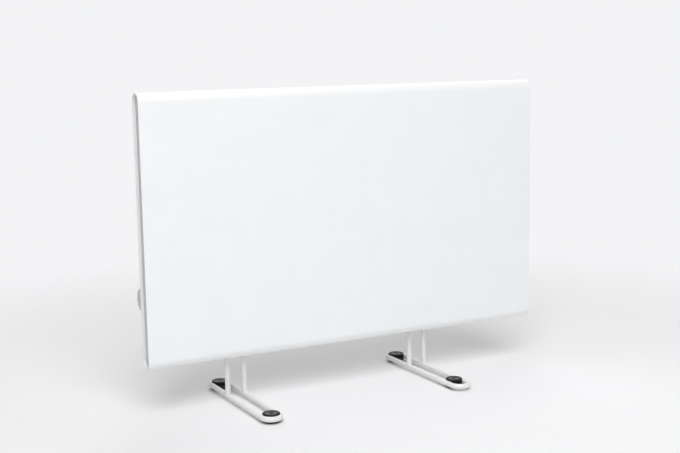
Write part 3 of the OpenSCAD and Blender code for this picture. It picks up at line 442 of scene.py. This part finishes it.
FINISHES = {
    # powder coats of the cover, the back plate and the stands
    "white_coat": (orange_peel, 700.0, "casing", 0.40, 0.03, dict(contrast=0.012)),
    "plate_coat": (orange_peel, 900.0, "plate", 0.55, 0.05, dict(contrast=0.03)),
    "stand_coat": (orange_peel, 900.0, "stand", 0.36, 0.03, dict(contrast=0.02)),
    # moulded plastics, and the thermostat's dark and the terminal block's ivory one
    "bracket_plastic": (mould_grain, 1500.0, "bracket", 0.5, 0.05, {}),
    "box_plastic": (mould_grain, 1700.0, "box", 0.48, 0.05, dict(contrast=0.03)),
    # The end caps' grey is partly painted shade of their recess.
    "cap_plastic": (mould_grain, 1500.0, "cap", 0.5, 0.04, dict(contrast=0.03)),
    # The dial's grey is partly painted shade of its left-facing side.
    "dial_plastic": (mould_grain, 2200.0, "dial", 0.38, 0.03, dict(contrast=0.03)),
    "foot_plastic": (mould_grain, 1800.0, "foot", 0.46, 0.02, dict(contrast=0.3, specular=0.12)),
    "dark_plastic": (mould_grain, 1500.0, "phenolic", 0.4, 0.02, dict(contrast=0.3, coat=0.2)),
    "block_plastic": (mould_grain, 1500.0, "block", 0.42, 0.02, {}),
    # rubber of the pads and of the grommet, silicone of the leads, and printed ink
    "foot_rubber": (mould_grain, 1200.0, "rubber", 0.75, 0.05, dict(contrast=0.4)),
    "grommet_rubber": (mould_grain, 1600.0, "rubber", 0.7, 0.03, dict(contrast=0.4)),
    "wire_skin": (mould_grain, 2500.0, "wire", 0.5, 0.01, {}),
    "dial_ink": (mould_grain, 3000.0, "ink", 0.55, 0.005, dict(contrast=0.3)),
    # zinc plate, the feet's black screws, whose near-black colour is partly painted shade of the recess
    # round them, the element and the spindle, the fins and the shield
    "zinc_steel": (zinc_bloom, 500.0, "zinc", 0.34, 0.004,
                   dict(metallic=1.0, contrast=0.25, rough_span=0.16)),
    "dark_steel": (zinc_bloom, 700.0, "blackened", 0.4, 0.004,
                   dict(metallic=1.0, contrast=0.4, rough_span=0.16)),
    "element_steel": (rolled_grain, 900.0, "steel", 0.38, 0.004,
                      dict(metallic=1.0, contrast=0.5, rough_span=0.2)),
    "fin_aluminium": (rolled_grain, 1100.0, "aluminium", 0.3, 0.004,
                      dict(metallic=1.0, contrast=0.16, rough_span=0.16)),
}


def surface_material(name, texture, scale, paint, roughness, bump, metallic=0.0, contrast=0.06,
                     rough_span=0.08, coat=0.0, coat_roughness=0.12, specular=0.5):
    """A finish over a texture: its tone varies the colour by the contrast and the roughness by
    its span, and its height makes the bump."""
    material = bpy.data.materials.new(name)
    tree = empty_tree(material)
    place = add(tree, "ShaderNodeTexCoord", (-900, 0)).outputs["Object"]
    effect = add(tree, "ShaderNodeGroup", (-600, 0), {"Vector": place, "Scale": scale},
                 node_tree=texture_group(texture))
    tone, height = effect.outputs["Tone"], effect.outputs["Height"]
    middle = np.array(getattr(bpy.context.scene.heater_colours, paint))
    dark = middle * (1 - contrast / 2)
    light = np.clip(middle * (1 + contrast / 2), 0, 1)
    tint = blend(tree, tone, (*dark, 1), (*light, 1), (100, 200))
    rough = math_node(tree, "MULTIPLY_ADD", (100, -50), tone, rough_span, roughness - rough_span / 2)
    relief = add(tree, "ShaderNodeBump", (320, -250),
                 {"Strength": 1.0, "Distance": bump * MM, "Height": height})
    shader = add(tree, "ShaderNodeBsdfPrincipled", (600, 0),
                 {"Base Color": tint, "Roughness": rough, "Normal": relief.outputs["Normal"],
                  "Metallic": metallic, "Specular IOR Level": specular, "Coat Weight": coat,
                  "Coat Roughness": coat_roughness})
    add(tree, "ShaderNodeOutputMaterial", (900, 0), {"Surface": shader.outputs["BSDF"]})
    return material


def rub_dish(material, low=0.70 * MM, high=0.45 * MM, soft=0.05 * MM, polish=-0.08):
    """Paints a sheen into the dish on top of the feet's plastic: a lighter colour, which is a painted
    highlight, and a smoother finish.

    The dish is found by its height, because all four caps stand on one level: the mask is 1 from
    low to high under the rim where the surface faces up, and 0 on the rim, in the screw's recess
    and on the sides.
    """
    tree = material.node_tree
    top = edges("foot_cap_left_front")[1][2]
    place = add(tree, "ShaderNodeTexCoord", (-900, 600)).outputs["Object"]
    facing = add(tree, "ShaderNodeNewGeometry", (-900, 800)).outputs["Normal"]
    height = add(tree, "ShaderNodeSeparateXYZ", (-700, 600), {0: place}).outputs["Z"]
    upward = add(tree, "ShaderNodeSeparateXYZ", (-700, 800), {0: facing}).outputs["Z"]
    over = ramp(tree, height, top - low - soft, top - low + soft, (-500, 700))
    under = ramp(tree, height, top - high + soft, top - high - soft, (-500, 550))
    level = ramp(tree, upward, low=0.5, high=0.9, at=(-500, 850))
    dish = math_node(tree, "MULTIPLY", (-300, 650), over, under)
    dish = math_node(tree, "MULTIPLY", (-150, 700), dish, level)
    shader = next(node for node in tree.nodes if node.type == "BSDF_PRINCIPLED")
    colour_in, rough_in = shader.inputs["Base Color"], shader.inputs["Roughness"]
    # The lighter dish colour is a painted highlight where the surface faces up.
    painted_sheen = (*bpy.context.scene.heater_colours.foot_dish, 1)
    tint = blend(tree, dish, colour_in.links[0].from_socket, painted_sheen, (420, 500))
    less = math_node(tree, "MULTIPLY", (420, 350), dish, polish)
    rough = math_node(tree, "ADD", (520, 300), rough_in.links[0].from_socket, less)
    tree.links.new(tint, colour_in)
    tree.links.new(rough, rough_in)


def finish_of(slot):
    """The material of the ink or of one of the record's slots, made when it is first asked for."""
    name = slot + "_finish"
    if name not in bpy.data.materials:
        if slot not in FINISHES:
            raise RuntimeError(f"there is no finish for the slot {slot}")
        *usual, others = FINISHES[slot]
        material = surface_material(name, *usual, **others)
        # The feet's plastic gets a painted sheen in its dishes.
        if slot == "foot_plastic":
            rub_dish(material)
    return bpy.data.materials[name]


def dress(*nodes):
    """Gives CAD nodes that stay the finishes of their own slots."""
    for node in nodes:
        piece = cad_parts[node]
        for index, material in enumerate(piece.data.materials):
            piece.data.materials[index] = finish_of(material.name.split(".")[0])


# The pieces

class HEATER_OT_cover(Operator):
    """Bend the cover from one sheet and give the back plate its coat"""

    bl_idname = "heater.cover"
    bl_label = "Cover and back plate"

    def execute(self, context):
        sizes = context.scene.heater_sizes
        low, high = edges("front_cover")
        bend_r = (high[1] - low[1]) / 2
        middle_y = (high[1] + low[1]) / 2
        offset = bend_r - sizes.sheet_t / 2
        bottom_z, top_z = low[2] + bend_r, high[2] - bend_r
        path, outward = self.middle_line(middle_y, bottom_z, top_z, offset, sizes.flange_h)
        rings = self.sheet_rings(path, outward, high[0], sizes.sheet_t / 2, sizes.cut_edge_r)
        cover = make_piece("cover_sheet", [skin(rings)], "white_coat")
        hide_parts("front_cover")
        dress("back_plate")
        return {"FINISHED"}

    @staticmethod
    def middle_line(middle_y, bottom_z, top_z, offset, flange_h, steps=12):
        """The sheet's middle line in Y and Z with its outward direction: up to the lower bend
        along the flange, half a turn, up the front, half a turn and down the upper flange."""
        flange = np.linspace(flange_h, 0, steps)
        front = np.linspace(0, 1, 4 * steps)[1:-1]
        bend = np.linspace(0, -math.pi, 4 * steps + 1)
        turn = np.stack([np.cos(bend), np.sin(bend)], -1)
        turn_back = turn[::-1] * [1, -1]
        lower = np.array([middle_y, bottom_z]) + offset * turn
        upper = np.array([middle_y, top_z]) + offset * turn_back
        rise = np.stack([np.full_like(front, middle_y - offset), bottom_z + front * (top_z - bottom_z)], -1)
        start = np.stack([np.full_like(flange, middle_y + offset), bottom_z + flange], -1)[:-1]
        end = np.stack([np.full_like(flange, middle_y + offset), top_z - flange[::-1]], -1)[1:]
        path = np.concatenate([start, lower, rise, upper, end])
        back = np.array([[1.0, 0.0]])
        outward = np.concatenate([
            np.repeat(back, len(start), 0), turn, np.repeat(-back, len(rise), 0), turn_back,
            np.repeat(back, len(end), 0)])
        return path, outward

    @staticmethod
    def sheet_rings(path, outward, half_w, half_t, edge_r, steps=4, least_r=0.05 * MM):
        """A rounded rectangle of the sheet's width and thickness at each point of the path; at
        both ends it shrinks through a quarter circle, so that the flange's edge is rounded."""
        rise, inset = quarter(steps)
        first = path[0] - path[1]
        last = path[-1] - path[-2]
        first /= np.linalg.norm(first)
        last /= np.linalg.norm(last)
        start = path[0] + first * edge_r * (rise[::-1, None] - 1)
        end = path[-1] + last * edge_r * (rise[:, None] - 1)
        spine = np.concatenate([start, path[1:-1], end])
        normal = np.concatenate([
            np.repeat(outward[:1], steps, 0), outward[1:-1], np.repeat(outward[-1:], steps, 0)])
        inward = edge_r * np.concatenate([inset[::-1], np.zeros(len(path) - 2), inset])
        rings = []
        for centre, direction, shrink in zip(spine, normal, inward):
            shape = rounded_rectangle(half_w - shrink, half_t - shrink, max(edge_r - shrink, least_r))
            rings.append(np.column_stack([shape[:, 0], centre + shape[:, 1:] * direction]))
        return np.array(rings)


class HEATER_OT_end_caps(Operator):
    """Mould the two end caps as shallow pans"""

    bl_idname = "heater.end_caps"
    bl_label = "End caps"

    def execute(self, context):
        sizes = context.scene.heater_sizes
        for side, node in ((-1, "end_cap_left"), (1, "end_cap_right")):
            rings = self.pan(node, side, sizes.cap_wall, sizes.cap_edge_r)
            cap = make_piece(node.replace("end_cap", "end_pan"), [skin(rings)], "cap_plastic")
            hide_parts(node)
        return {"FINISHED"}

    def pan(self, node, side, wall, edge_r, edge_steps=6):
        """Outlines stacked from the middle of the face round its rounded edge, along the rim,
        and back inside to the face: a pan with an even wall."""
        low, high = edges(node)
        inner_x, outer_x = sorted((abs(low[0]), abs(high[0])))
        rise, inset = quarter(edge_steps)
        profile = [(edge_r * i, outer_x - edge_r + edge_r * r) for r, i in zip(rise[::-1], inset[::-1])]
        profile += [(0, inner_x), (wall, inner_x), (wall, outer_x - wall)]
        return np.array([self.outline(low, high, shrink, side * x) for shrink, x in profile])

    @staticmethod
    def outline(low, high, shrink, x, steps=28):
        """Two half circles joined by straight lines and cut off flat at the rear, moved inwards.

        The circles' radius is the casing's, less the gap between the cap's and its front face.
        """
        casing_low, casing_high = edges("front_cover")
        cap_r = (casing_high[1] - casing_low[1]) / 2 - (low[1] - casing_low[1])
        bend_r = cap_r - shrink
        middle_y, middle_z = low[1] + cap_r, (low[2] + high[2]) / 2
        cut = math.acos(np.clip((high[1] - shrink - middle_y) / bend_r, -1, 1))
        turn = np.linspace(cut, math.pi, steps)
        reach = (high[2] - low[2]) / 2 - cap_r
        upper = np.stack([middle_y + bend_r * np.cos(turn), middle_z + reach + bend_r * np.sin(turn)], -1)
        lower = np.stack([upper[::-1, 0], 2 * middle_z - upper[::-1, 1]], -1)
        yz = np.concatenate([upper, lower])
        return np.column_stack([np.full(len(yz), x), yz])


class HEATER_OT_stands(Operator):
    """Bend and weld the two rod stands and dress their brackets"""

    bl_idname = "heater.stands"
    bl_label = "Stands"

    def execute(self, context):
        sizes = context.scene.heater_sizes
        for side in SIDES:
            node = f"stand_rod_{side}"
            stand = make_piece(f"stand_loop_{side}", self.shells(node, side, sizes), "stand_coat")
            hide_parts(node)
            dress(f"stand_bracket_{side}_lower", f"stand_bracket_{side}_upper")
        return {"FINISHED"}

    def shells(self, node, side, sizes):
        """The loop, the two uprights and the welds at their feet."""
        low, high = edges(node)
        rod_r = sizes.rod_d / 2
        middle = (low + high) / 2
        run = (high[0] - low[0]) / 2 - rod_r
        straight = (high[1] - low[1]) / 2 - rod_r - run
        rod_z = low[2] + rod_r
        upright_y = edges(f"stand_bracket_{side}_lower")[1][1] - sizes.holder_wall - rod_r
        shells = [self.loop(middle[0], middle[1], rod_z, run, straight, rod_r)]
        for sign in (-1, 1):
            foot = np.array([middle[0] + sign * run, upright_y, rod_z])
            shells.append(self.upright(foot, high[2] - rod_z, rod_r, sizes.rod_end_r))
            for way in (-1, 1):
                shells.append(self.weld(foot, way, rod_r, sizes.weld_r))
        return shells

    @staticmethod
    def loop(x, y, z, run, straight, rod_r, turn_steps=41, line_steps=24):
        """A circle carried along two straight runs joined by half circles."""
        turn = np.linspace(0, math.pi, turn_steps)
        rear = np.stack([np.cos(turn), np.sin(turn), np.zeros_like(turn)], -1)
        line = np.linspace(-1, 1, line_steps + 2)[1:-1]
        right = np.repeat([[1.0, 0.0, 0.0]], len(line), 0)
        across = np.concatenate([right, rear, -right, -rear])
        centre = np.zeros_like(across)
        centre[:, 1] = straight * np.concatenate(
            [line, np.ones_like(turn), -line, -np.ones_like(turn)])
        path = np.array([x, y, z]) + centre + run * across
        return skin(tube(path, across, rod_r), closed=True)

    @staticmethod
    def upright(foot, height, rod_r, end_r, levels=13, end_steps=6):
        """A straight rod from inside the run, with a rounded upper end."""
        rise, inset = quarter(end_steps)
        profile = [(rod_r, z) for z in np.linspace(0, height - end_r, levels, endpoint=False)]
        profile += [(rod_r - end_r * i, height - end_r + end_r * r) for r, i in zip(rise, inset)]
        return skin(lathe(profile, foot))

    @staticmethod
    def weld(foot, way, rod_r, weld_r, side_angle=8, sunk=0.3, turn_steps=41, hollow_steps=9):
        """A concave fillet between the upright and the run.

        At the angle a round the upright both surfaces stand at the height r sin a, so the fillet
        is there a quarter circle of radius f, hollow towards the corner; f falls to nothing at
        the rod's sides, where the two surfaces run into each other. The wedge behind it is sunk a
        little way into both rods.
        """
        side_turn = math.radians(side_angle)
        turn = np.linspace(side_turn, math.pi - side_turn, turn_steps)[:, None]
        sine, short = quarter(hollow_steps)
        size = weld_r * np.sqrt(np.sin(turn))
        corner = rod_r * np.sin(turn)
        out = corner + size * (1 - sine)
        up = corner + size * short
        side = np.broadcast_to(rod_r * np.cos(turn), out.shape)
        inner = np.stack([rod_r * np.cos(turn), corner - sunk * size, corner - sunk * size], -1)
        grid = np.concatenate([np.stack([side, out, up], -1), inner], 1)
        grid[..., 1] *= way
        return skin(foot + grid)


class HEATER_OT_feet(Operator):
    """Dress the feet's caps, pads and screws"""

    bl_idname = "heater.feet"
    bl_label = "Feet"

    def execute(self, context):
        for side in SIDES:
            for end in ("front", "rear"):
                dress(f"foot_cap_{side}_{end}", f"foot_pad_{side}_{end}")
        dress("foot_screws")
        return {"FINISHED"}


class HEATER_OT_control_box(Operator):
    """Dress the control box and its inlet"""

    bl_idname = "heater.control_box"
    bl_label = "Control box"

    def execute(self, context):
        dress("control_box", "cord_inlet")
        return {"FINISHED"}


class HEATER_OT_dial(Operator):
    """Turn the dial with its grooves and put plain numbers on its face"""

    bl_idname = "heater.dial"
    bl_label = "Dial"

    def execute(self, context):
        sizes = context.scene.heater_sizes
        low, high = edges("thermostat_dial")
        axis = np.array([0, (low[1] + high[1]) / 2, (low[2] + high[2]) / 2])
        dial = make_piece("dial_knob", [self.knob(low, high, axis, sizes)], "dial_plastic", DIAL)
        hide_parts("thermostat_dial")
        self.numbers(low[0], axis, sizes)
        mark = make_piece("dial_mark", [self.mark(low[0], axis, sizes)], "dark_plastic", DIAL)
        mark.data.materials[0] = finish_of("dial_ink")
        dress("dial_spindle")
        return {"FINISHED"}

    @staticmethod
    def knob(low, high, axis, sizes, groove_steps=12, groove_power=6, dish_power=4, pole=0.02,
             face_steps=12, edge_steps=7, fade_steps=7, skirt_steps=5):
        """Rings from the middle of the face out to the skirt and back inside to the hub's bore.

        The face is dished by a shallow curve. Outside, the radius loses the groove's depth times
        a power of the cosine of the angle, which starts softly behind the face.
        """
        radius = (high[2] - low[2]) / 2
        depth = high[0] - low[0]
        around = np.linspace(0, 2 * math.pi, sizes.dial_grooves * groove_steps, endpoint=False)
        groove = np.abs(np.cos(sizes.dial_grooves * around / 2)) ** groove_power
        edge, wall = sizes.dial_edge_r, sizes.dial_wall
        rim, inner = radius - edge, radius - wall
        rise, inset = quarter(edge_steps)
        profile = [(rim * f, sizes.dial_dish * (1 - f ** dish_power), 0)
                   for f in np.linspace(pole, 1, face_steps)]
        profile += [(rim + edge * r, edge * i, 0) for r, i in zip(rise[1:], inset[1:])]
        profile += [(radius, sizes.groove_start + sizes.groove_fade * f, f * f * (3 - 2 * f))
                    for f in np.linspace(0, 1, fade_steps)]
        profile += [(radius, level, 1) for level in np.linspace(0.5, 1, skirt_steps) * depth]
        hub, hub_end = sizes.hub_d / 2, depth - sizes.hub_gap
        bore, bore_end = sizes.spindle_d / 2, wall + sizes.bore_floor
        profile += [(inner, depth, 0), (inner, wall, 0), (hub, wall, 0), (hub, hub_end, 0),
                    (bore, hub_end, 0), (bore, bore_end, 0)]
        radii, depths, amounts = np.array(profile).T[:, :, None]
        reach = radii - sizes.groove_depth * amounts * groove
        x = low[0] + np.broadcast_to(depths, reach.shape)
        return skin(np.stack([x, axis[1] + reach * np.sin(around), axis[2] + reach * np.cos(around)], -1))

    @staticmethod
    def numbers(face_x, axis, sizes, half_t=0.08 * MM, sunk=0.05 * MM, curve_steps=6):
        """Plain numbers on a ring, each with its foot towards the axis and its middle sunk a
        little into the face.

        The dial's own mark stands for nought. The number k stands k steps behind the mark, so
        that it comes to the top when the dial has turned by k steps.
        """
        face = Matrix(((0, 0, -1, face_x + sunk), (-1, 0, 0, axis[1]), (0, 1, 0, axis[2]), (0, 0, 0, 1)))
        out = Matrix.Translation((0, sizes.number_ring, 0))
        for k in range(1, sizes.number_count + 1):
            curve = bpy.data.curves.new(f"number_{k}", "FONT")
            curve.body = str(k)
            curve.size = sizes.number_h
            curve.align_x = "CENTER"
            curve.align_y = "CENTER"
            curve.extrude = half_t
            curve.resolution_u = curve_steps
            text = bpy.data.objects.new(f"number_{k}", curve)
            graph = bpy.context.evaluated_depsgraph_get()
            bpy.context.scene.collection.objects.link(text)
            graph.update()
            mesh = bpy.data.meshes.new_from_object(text.evaluated_get(graph))
            bpy.data.objects.remove(text)
            mesh.transform(face @ Matrix.Rotation(k * sizes.number_step, 4, "Z") @ out)
            mesh.materials.clear()
            piece = place_piece(f"dial_number_{k}", mesh, "dark_plastic", DIAL)
            piece.data.materials[0] = finish_of("dial_ink")

    @staticmethod
    def mark(face_x, axis, sizes, root=0.63 * MM, sunk=0.03 * MM, bevel=0.04 * MM, round_end=0.98):
        """The dial's mark: a thin bar along the radius to the top, from its root inside the face
        to its bevelled front just over it. Its ends are rounded by nearly half its width."""
        centre = np.array([0, axis[1], axis[2] + sizes.mark_at])
        rings = []
        for depth, shrink in ((root, 0.0), (sunk, 0.0), (sunk - bevel, bevel)):
            half_w = sizes.mark_w / 2 - shrink
            shape = rounded_rectangle(half_w, sizes.mark_l / 2 - shrink, half_w * round_end)
            rings.append(centre + np.column_stack([np.full(len(shape), face_x + depth), shape]))
        return skin(np.array(rings))


class HEATER_OT_inside(Operator):
    """Dress the element, the shield, the thermostat and the wiring"""

    bl_idname = "heater.inside"
    bl_label = "Inner pieces"

    def execute(self, context):
        dress("heating_element", "element_fins", "element_bracket_left", "element_bracket_right",
              "heat_shield", "shield_rivets", "thermal_cutout", "thermostat_body",
              "thermostat_nut", "wire_grommet", "terminal_block")
        sizes = context.scene.heater_sizes
        for name, node, corners in self.leads(sizes):
            lead = make_piece(name, [bent_tube(corners, sizes.lead_bend, sizes.lead_d / 2)],
                              "wire_skin")
            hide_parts(node)
        return {"FINISHED"}

    @staticmethod
    def leads(sizes):
        """Both leads' corners: from the element's pins through the grommet and down into the
        terminal block."""
        half = sizes.lead_d / 2
        near_low, near_high = edges("element_wire_short")
        far_low, far_high = edges("element_wire_long")
        pin_low, pin_high = edges("heating_element")
        hole_x, _, hole_z = np.mean(edges("wire_grommet"), axis=0)
        front_y, rear_y = near_low[1] + half, near_high[1] - half
        pin_z, pole_z = near_high[2] - half, near_low[2]
        over_z, under_z = hole_z + sizes.lead_over, hole_z - sizes.lead_under
        near_x, far_x = near_low[0] + half, far_low[0] + half
        start_x = pin_high[0] + pin_low[0] - near_high[0]
        turn_x, low_z = far_high[0] - half, far_low[2] + half
        near = [(near_high[0], front_y, pin_z), (hole_x, front_y, pin_z), (hole_x, front_y, over_z),
                (hole_x, rear_y, over_z), (near_x, rear_y, over_z), (near_x, rear_y, pole_z)]
        far = [(start_x, front_y, pin_z), (turn_x, front_y, pin_z), (turn_x, front_y, low_z),
               (hole_x, front_y, low_z), (hole_x, front_y, under_z), (hole_x, rear_y, under_z),
               (far_x, rear_y, under_z), (far_x, rear_y, pole_z)]
        return [("lead_short", "element_wire_short", near), ("lead_long", "element_wire_long", far)]


class HEATER_OT_fasteners(Operator):
    """Dress the screws, bolts and nuts"""

    bl_idname = "heater.fasteners"
    bl_label = "Fasteners"

    def execute(self, context):
        dress("cutout_screws", "box_screws", "bracket_bolts", "bracket_nuts", "case_screws",
              "element_screws")
        return {"FINISHED"}


# The studio

# Each light's azimuth from the front, positive to the right, and its elevation, both in degrees,
# and the point near the heater's middle that they all face
LAMPS = (("key", -20, 50), ("fill", -22, 35), ("top", 180, 83), ("back", 145, 42))
LAMPS_AIM = (0, 0, 0.15)


class HEATER_OT_stage(Operator):
    """Set up the floor, the backdrop, the soft lights and the camera"""

    bl_idname = "heater.stage"
    bl_label = "Studio"

    def execute(self, context):
        stage = context.scene.heater_stage
        self.floor(stage)
        self.world(context.scene, stage)
        self.lamps(context.scene, stage)
        self.camera(context.scene, stage)
        context.scene.view_settings.view_transform = "Standard"
        return {"FINISHED"}

    def floor(self, stage, middle_r=0.05, thickness=5 * MM, rings=24, steps=96):
        """A round floor: rings whose radius grows by an even factor, and the same below."""
        radii = np.geomspace(middle_r, stage.floor_r, rings)
        cosine, sine = circle(steps)
        top = radii[:, None, None] * np.stack([cosine, sine, np.zeros(steps)], -1)
        below = top[::-1] - [0, 0, thickness]
        points, quads, fans = skin(np.concatenate([top, below]))
        mesh = bpy.data.meshes.new("floor")
        mesh.from_pydata(points.tolist(), [], quads.tolist() + fans.tolist())
        floor = bpy.data.objects.new("floor", mesh)
        bpy.context.scene.collection.objects.link(floor)
        mesh.materials.append(self.floor_material(stage))

    @staticmethod
    def floor_material(stage, drift=0.01, drift_scale=3.0):
        """Matt white board, drifting a little in tone, that fades into the backdrop's colour with
        distance, for the camera and for reflections."""
        material = bpy.data.materials.new("studio_floor")
        tree = empty_tree(material)
        place = add(tree, "ShaderNodeTexCoord", (-900, 0)).outputs["Object"]
        distance = add(tree, "ShaderNodeVectorMath", (-650, 100), {0: place}, operation="LENGTH")
        far = ramp(tree, distance.outputs["Value"], stage.fade_from, stage.fade_to, (-400, 100))
        share = math_node(tree, "MULTIPLY", (-100, 0), far, camera_share(tree, (-650, -200)))
        tone = noise(tree, place, drift_scale, detail=2.0, at=(-650, 400))
        darker = [part * (1 - drift) for part in stage.floor]
        lighter = [min(part * (1 + drift), 1) for part in stage.floor]
        tint = blend(tree, tone, (*darker, 1), (*lighter, 1), (-100, 300))
        board = add(tree, "ShaderNodeBsdfPrincipled", (200, 200),
                    {"Base Color": tint, "Roughness": 0.9, "Specular IOR Level": 0.1})
        glow = add(tree, "ShaderNodeEmission", (200, -200), {"Color": (*stage.backdrop, 1)})
        mix = add(tree, "ShaderNodeMixShader", (600, 0),
                  {0: share, 1: board.outputs[0], 2: glow.outputs[0]})
        add(tree, "ShaderNodeOutputMaterial", (900, 0), {"Surface": mix.outputs[0]})
        return material

    @staticmethod
    def world(scene, stage):
        """Even light from all round; the camera and reflections see the backdrop's colour."""
        scene.world = bpy.data.worlds.new("studio")
        tree = empty_tree(scene.world)
        around = add(tree, "ShaderNodeBackground", (0, 150),
                     {"Color": (1, 1, 1, 1), "Strength": stage.ambient})
        backdrop = add(tree, "ShaderNodeBackground", (0, -150),
                       {"Color": (*stage.backdrop, 1), "Strength": 1.0})
        mix = add(tree, "ShaderNodeMixShader", (300, 0),
                  {0: camera_share(tree, (-400, 0)), 1: around.outputs[0], 2: backdrop.outputs[0]})
        add(tree, "ShaderNodeOutputWorld", (600, 0), {"Surface": mix.outputs[0]})

    @staticmethod
    def lamps(scene, stage):
        """Large soft lights on a sphere round the heater, each turned towards their common aim."""
        for name, azimuth, elevation in LAMPS:
            azimuth, elevation = math.radians(azimuth), math.radians(elevation)
            away = np.array([math.sin(azimuth) * math.cos(elevation),
                             -math.cos(azimuth) * math.cos(elevation), math.sin(elevation)])
            data = bpy.data.lights.new(f"{name}_light", "AREA")
            data.energy = getattr(stage, f"{name}_power")
            data.size = stage.lamp_size
            lamp = bpy.data.objects.new(f"{name}_light", data)
            scene.collection.objects.link(lamp)
            lamp.location = np.array(LAMPS_AIM) + stage.lamp_distance * away
            lamp.rotation_mode = "QUATERNION"
            lamp.rotation_quaternion = Vector(away).to_track_quat("Z", "Y")

    @staticmethod
    def camera(scene, stage, sensor_w=36):
        """The camera from its place, yaw, pitch and roll, with a sensor 36 mm wide."""
        yaw, pitch, roll = stage.camera_yaw, -stage.camera_pitch, stage.camera_roll
        forward = np.array([math.sin(yaw) * math.cos(pitch), math.cos(yaw) * math.cos(pitch),
                            math.sin(pitch)])
        right = np.array([math.cos(yaw), -math.sin(yaw), 0.0])
        up = np.cross(right, forward)
        turn = np.eye(4)
        turn[:3, 0] = math.cos(roll) * right + math.sin(roll) * up
        turn[:3, 1] = -math.sin(roll) * right + math.cos(roll) * up
        turn[:3, 2] = -forward
        turn[:3, 3] = stage.camera_at
        data = bpy.data.cameras.new("camera")
        data.lens = stage.focal
        data.sensor_width = sensor_w
        camera = bpy.data.objects.new("camera", data)
        scene.collection.objects.link(camera)
        camera.matrix_world = Matrix(turn.tolist())
        scene.camera = camera


def camera_share(tree, at):
    """1 for rays from the camera and for reflected or transmitted ones, and 0 for all others."""
    x, y = at
    path = add(tree, "ShaderNodeLightPath", at).outputs
    glossy = math_node(tree, "MAXIMUM", (x + 200, y), path["Is Camera Ray"], path["Is Glossy Ray"])
    return math_node(tree, "MAXIMUM", (x + 380, y), glossy, path["Is Transmission Ray"])


class HEATER_PT_panel(Panel):
    """Lists the heater's builders and sizes in the sidebar"""

    bl_label = "Convector Heater"
    bl_space_type = "VIEW_3D"
    bl_region_type = "UI"
    bl_category = "Heater"

    def draw(self, context):
        layout = self.layout
        for builder in BUILDERS:
            layout.operator(builder.bl_idname)
        for settings in (context.scene.heater_sizes, context.scene.heater_colours,
                         context.scene.heater_stage):
            box = layout.box()
            for name in settings.__annotations__:
                box.prop(settings, name)


BUILDERS = (HEATER_OT_stage, HEATER_OT_cover, HEATER_OT_end_caps, HEATER_OT_stands, HEATER_OT_feet,
            HEATER_OT_control_box, HEATER_OT_dial, HEATER_OT_inside, HEATER_OT_fasteners)
CLASSES = (HeaterSizes, HeaterColours, HeaterStage, *BUILDERS, HEATER_PT_panel)


def register():
    """Registers the classes and hangs the settings on the scene."""
    for cls in CLASSES:
        bpy.utils.register_class(cls)
    bpy.types.Scene.heater_sizes = PointerProperty(type=HeaterSizes)
    bpy.types.Scene.heater_colours = PointerProperty(type=HeaterColours)
    bpy.types.Scene.heater_stage = PointerProperty(type=HeaterStage)


def unregister():
    """Takes the settings off the scene and unregisters the classes."""
    del bpy.types.Scene.heater_sizes
    del bpy.types.Scene.heater_colours
    del bpy.types.Scene.heater_stage
    for cls in reversed(CLASSES):
        bpy.utils.unregister_class(cls)


def main():
    register()
    bpy.ops.heater.stage()
    bpy.ops.heater.cover()
    bpy.ops.heater.end_caps()
    bpy.ops.heater.stands()
    bpy.ops.heater.feet()
    bpy.ops.heater.control_box()
    bpy.ops.heater.dial()
    bpy.ops.heater.inside()
    bpy.ops.heater.fasteners()


if __name__ == "__main__":
    main()
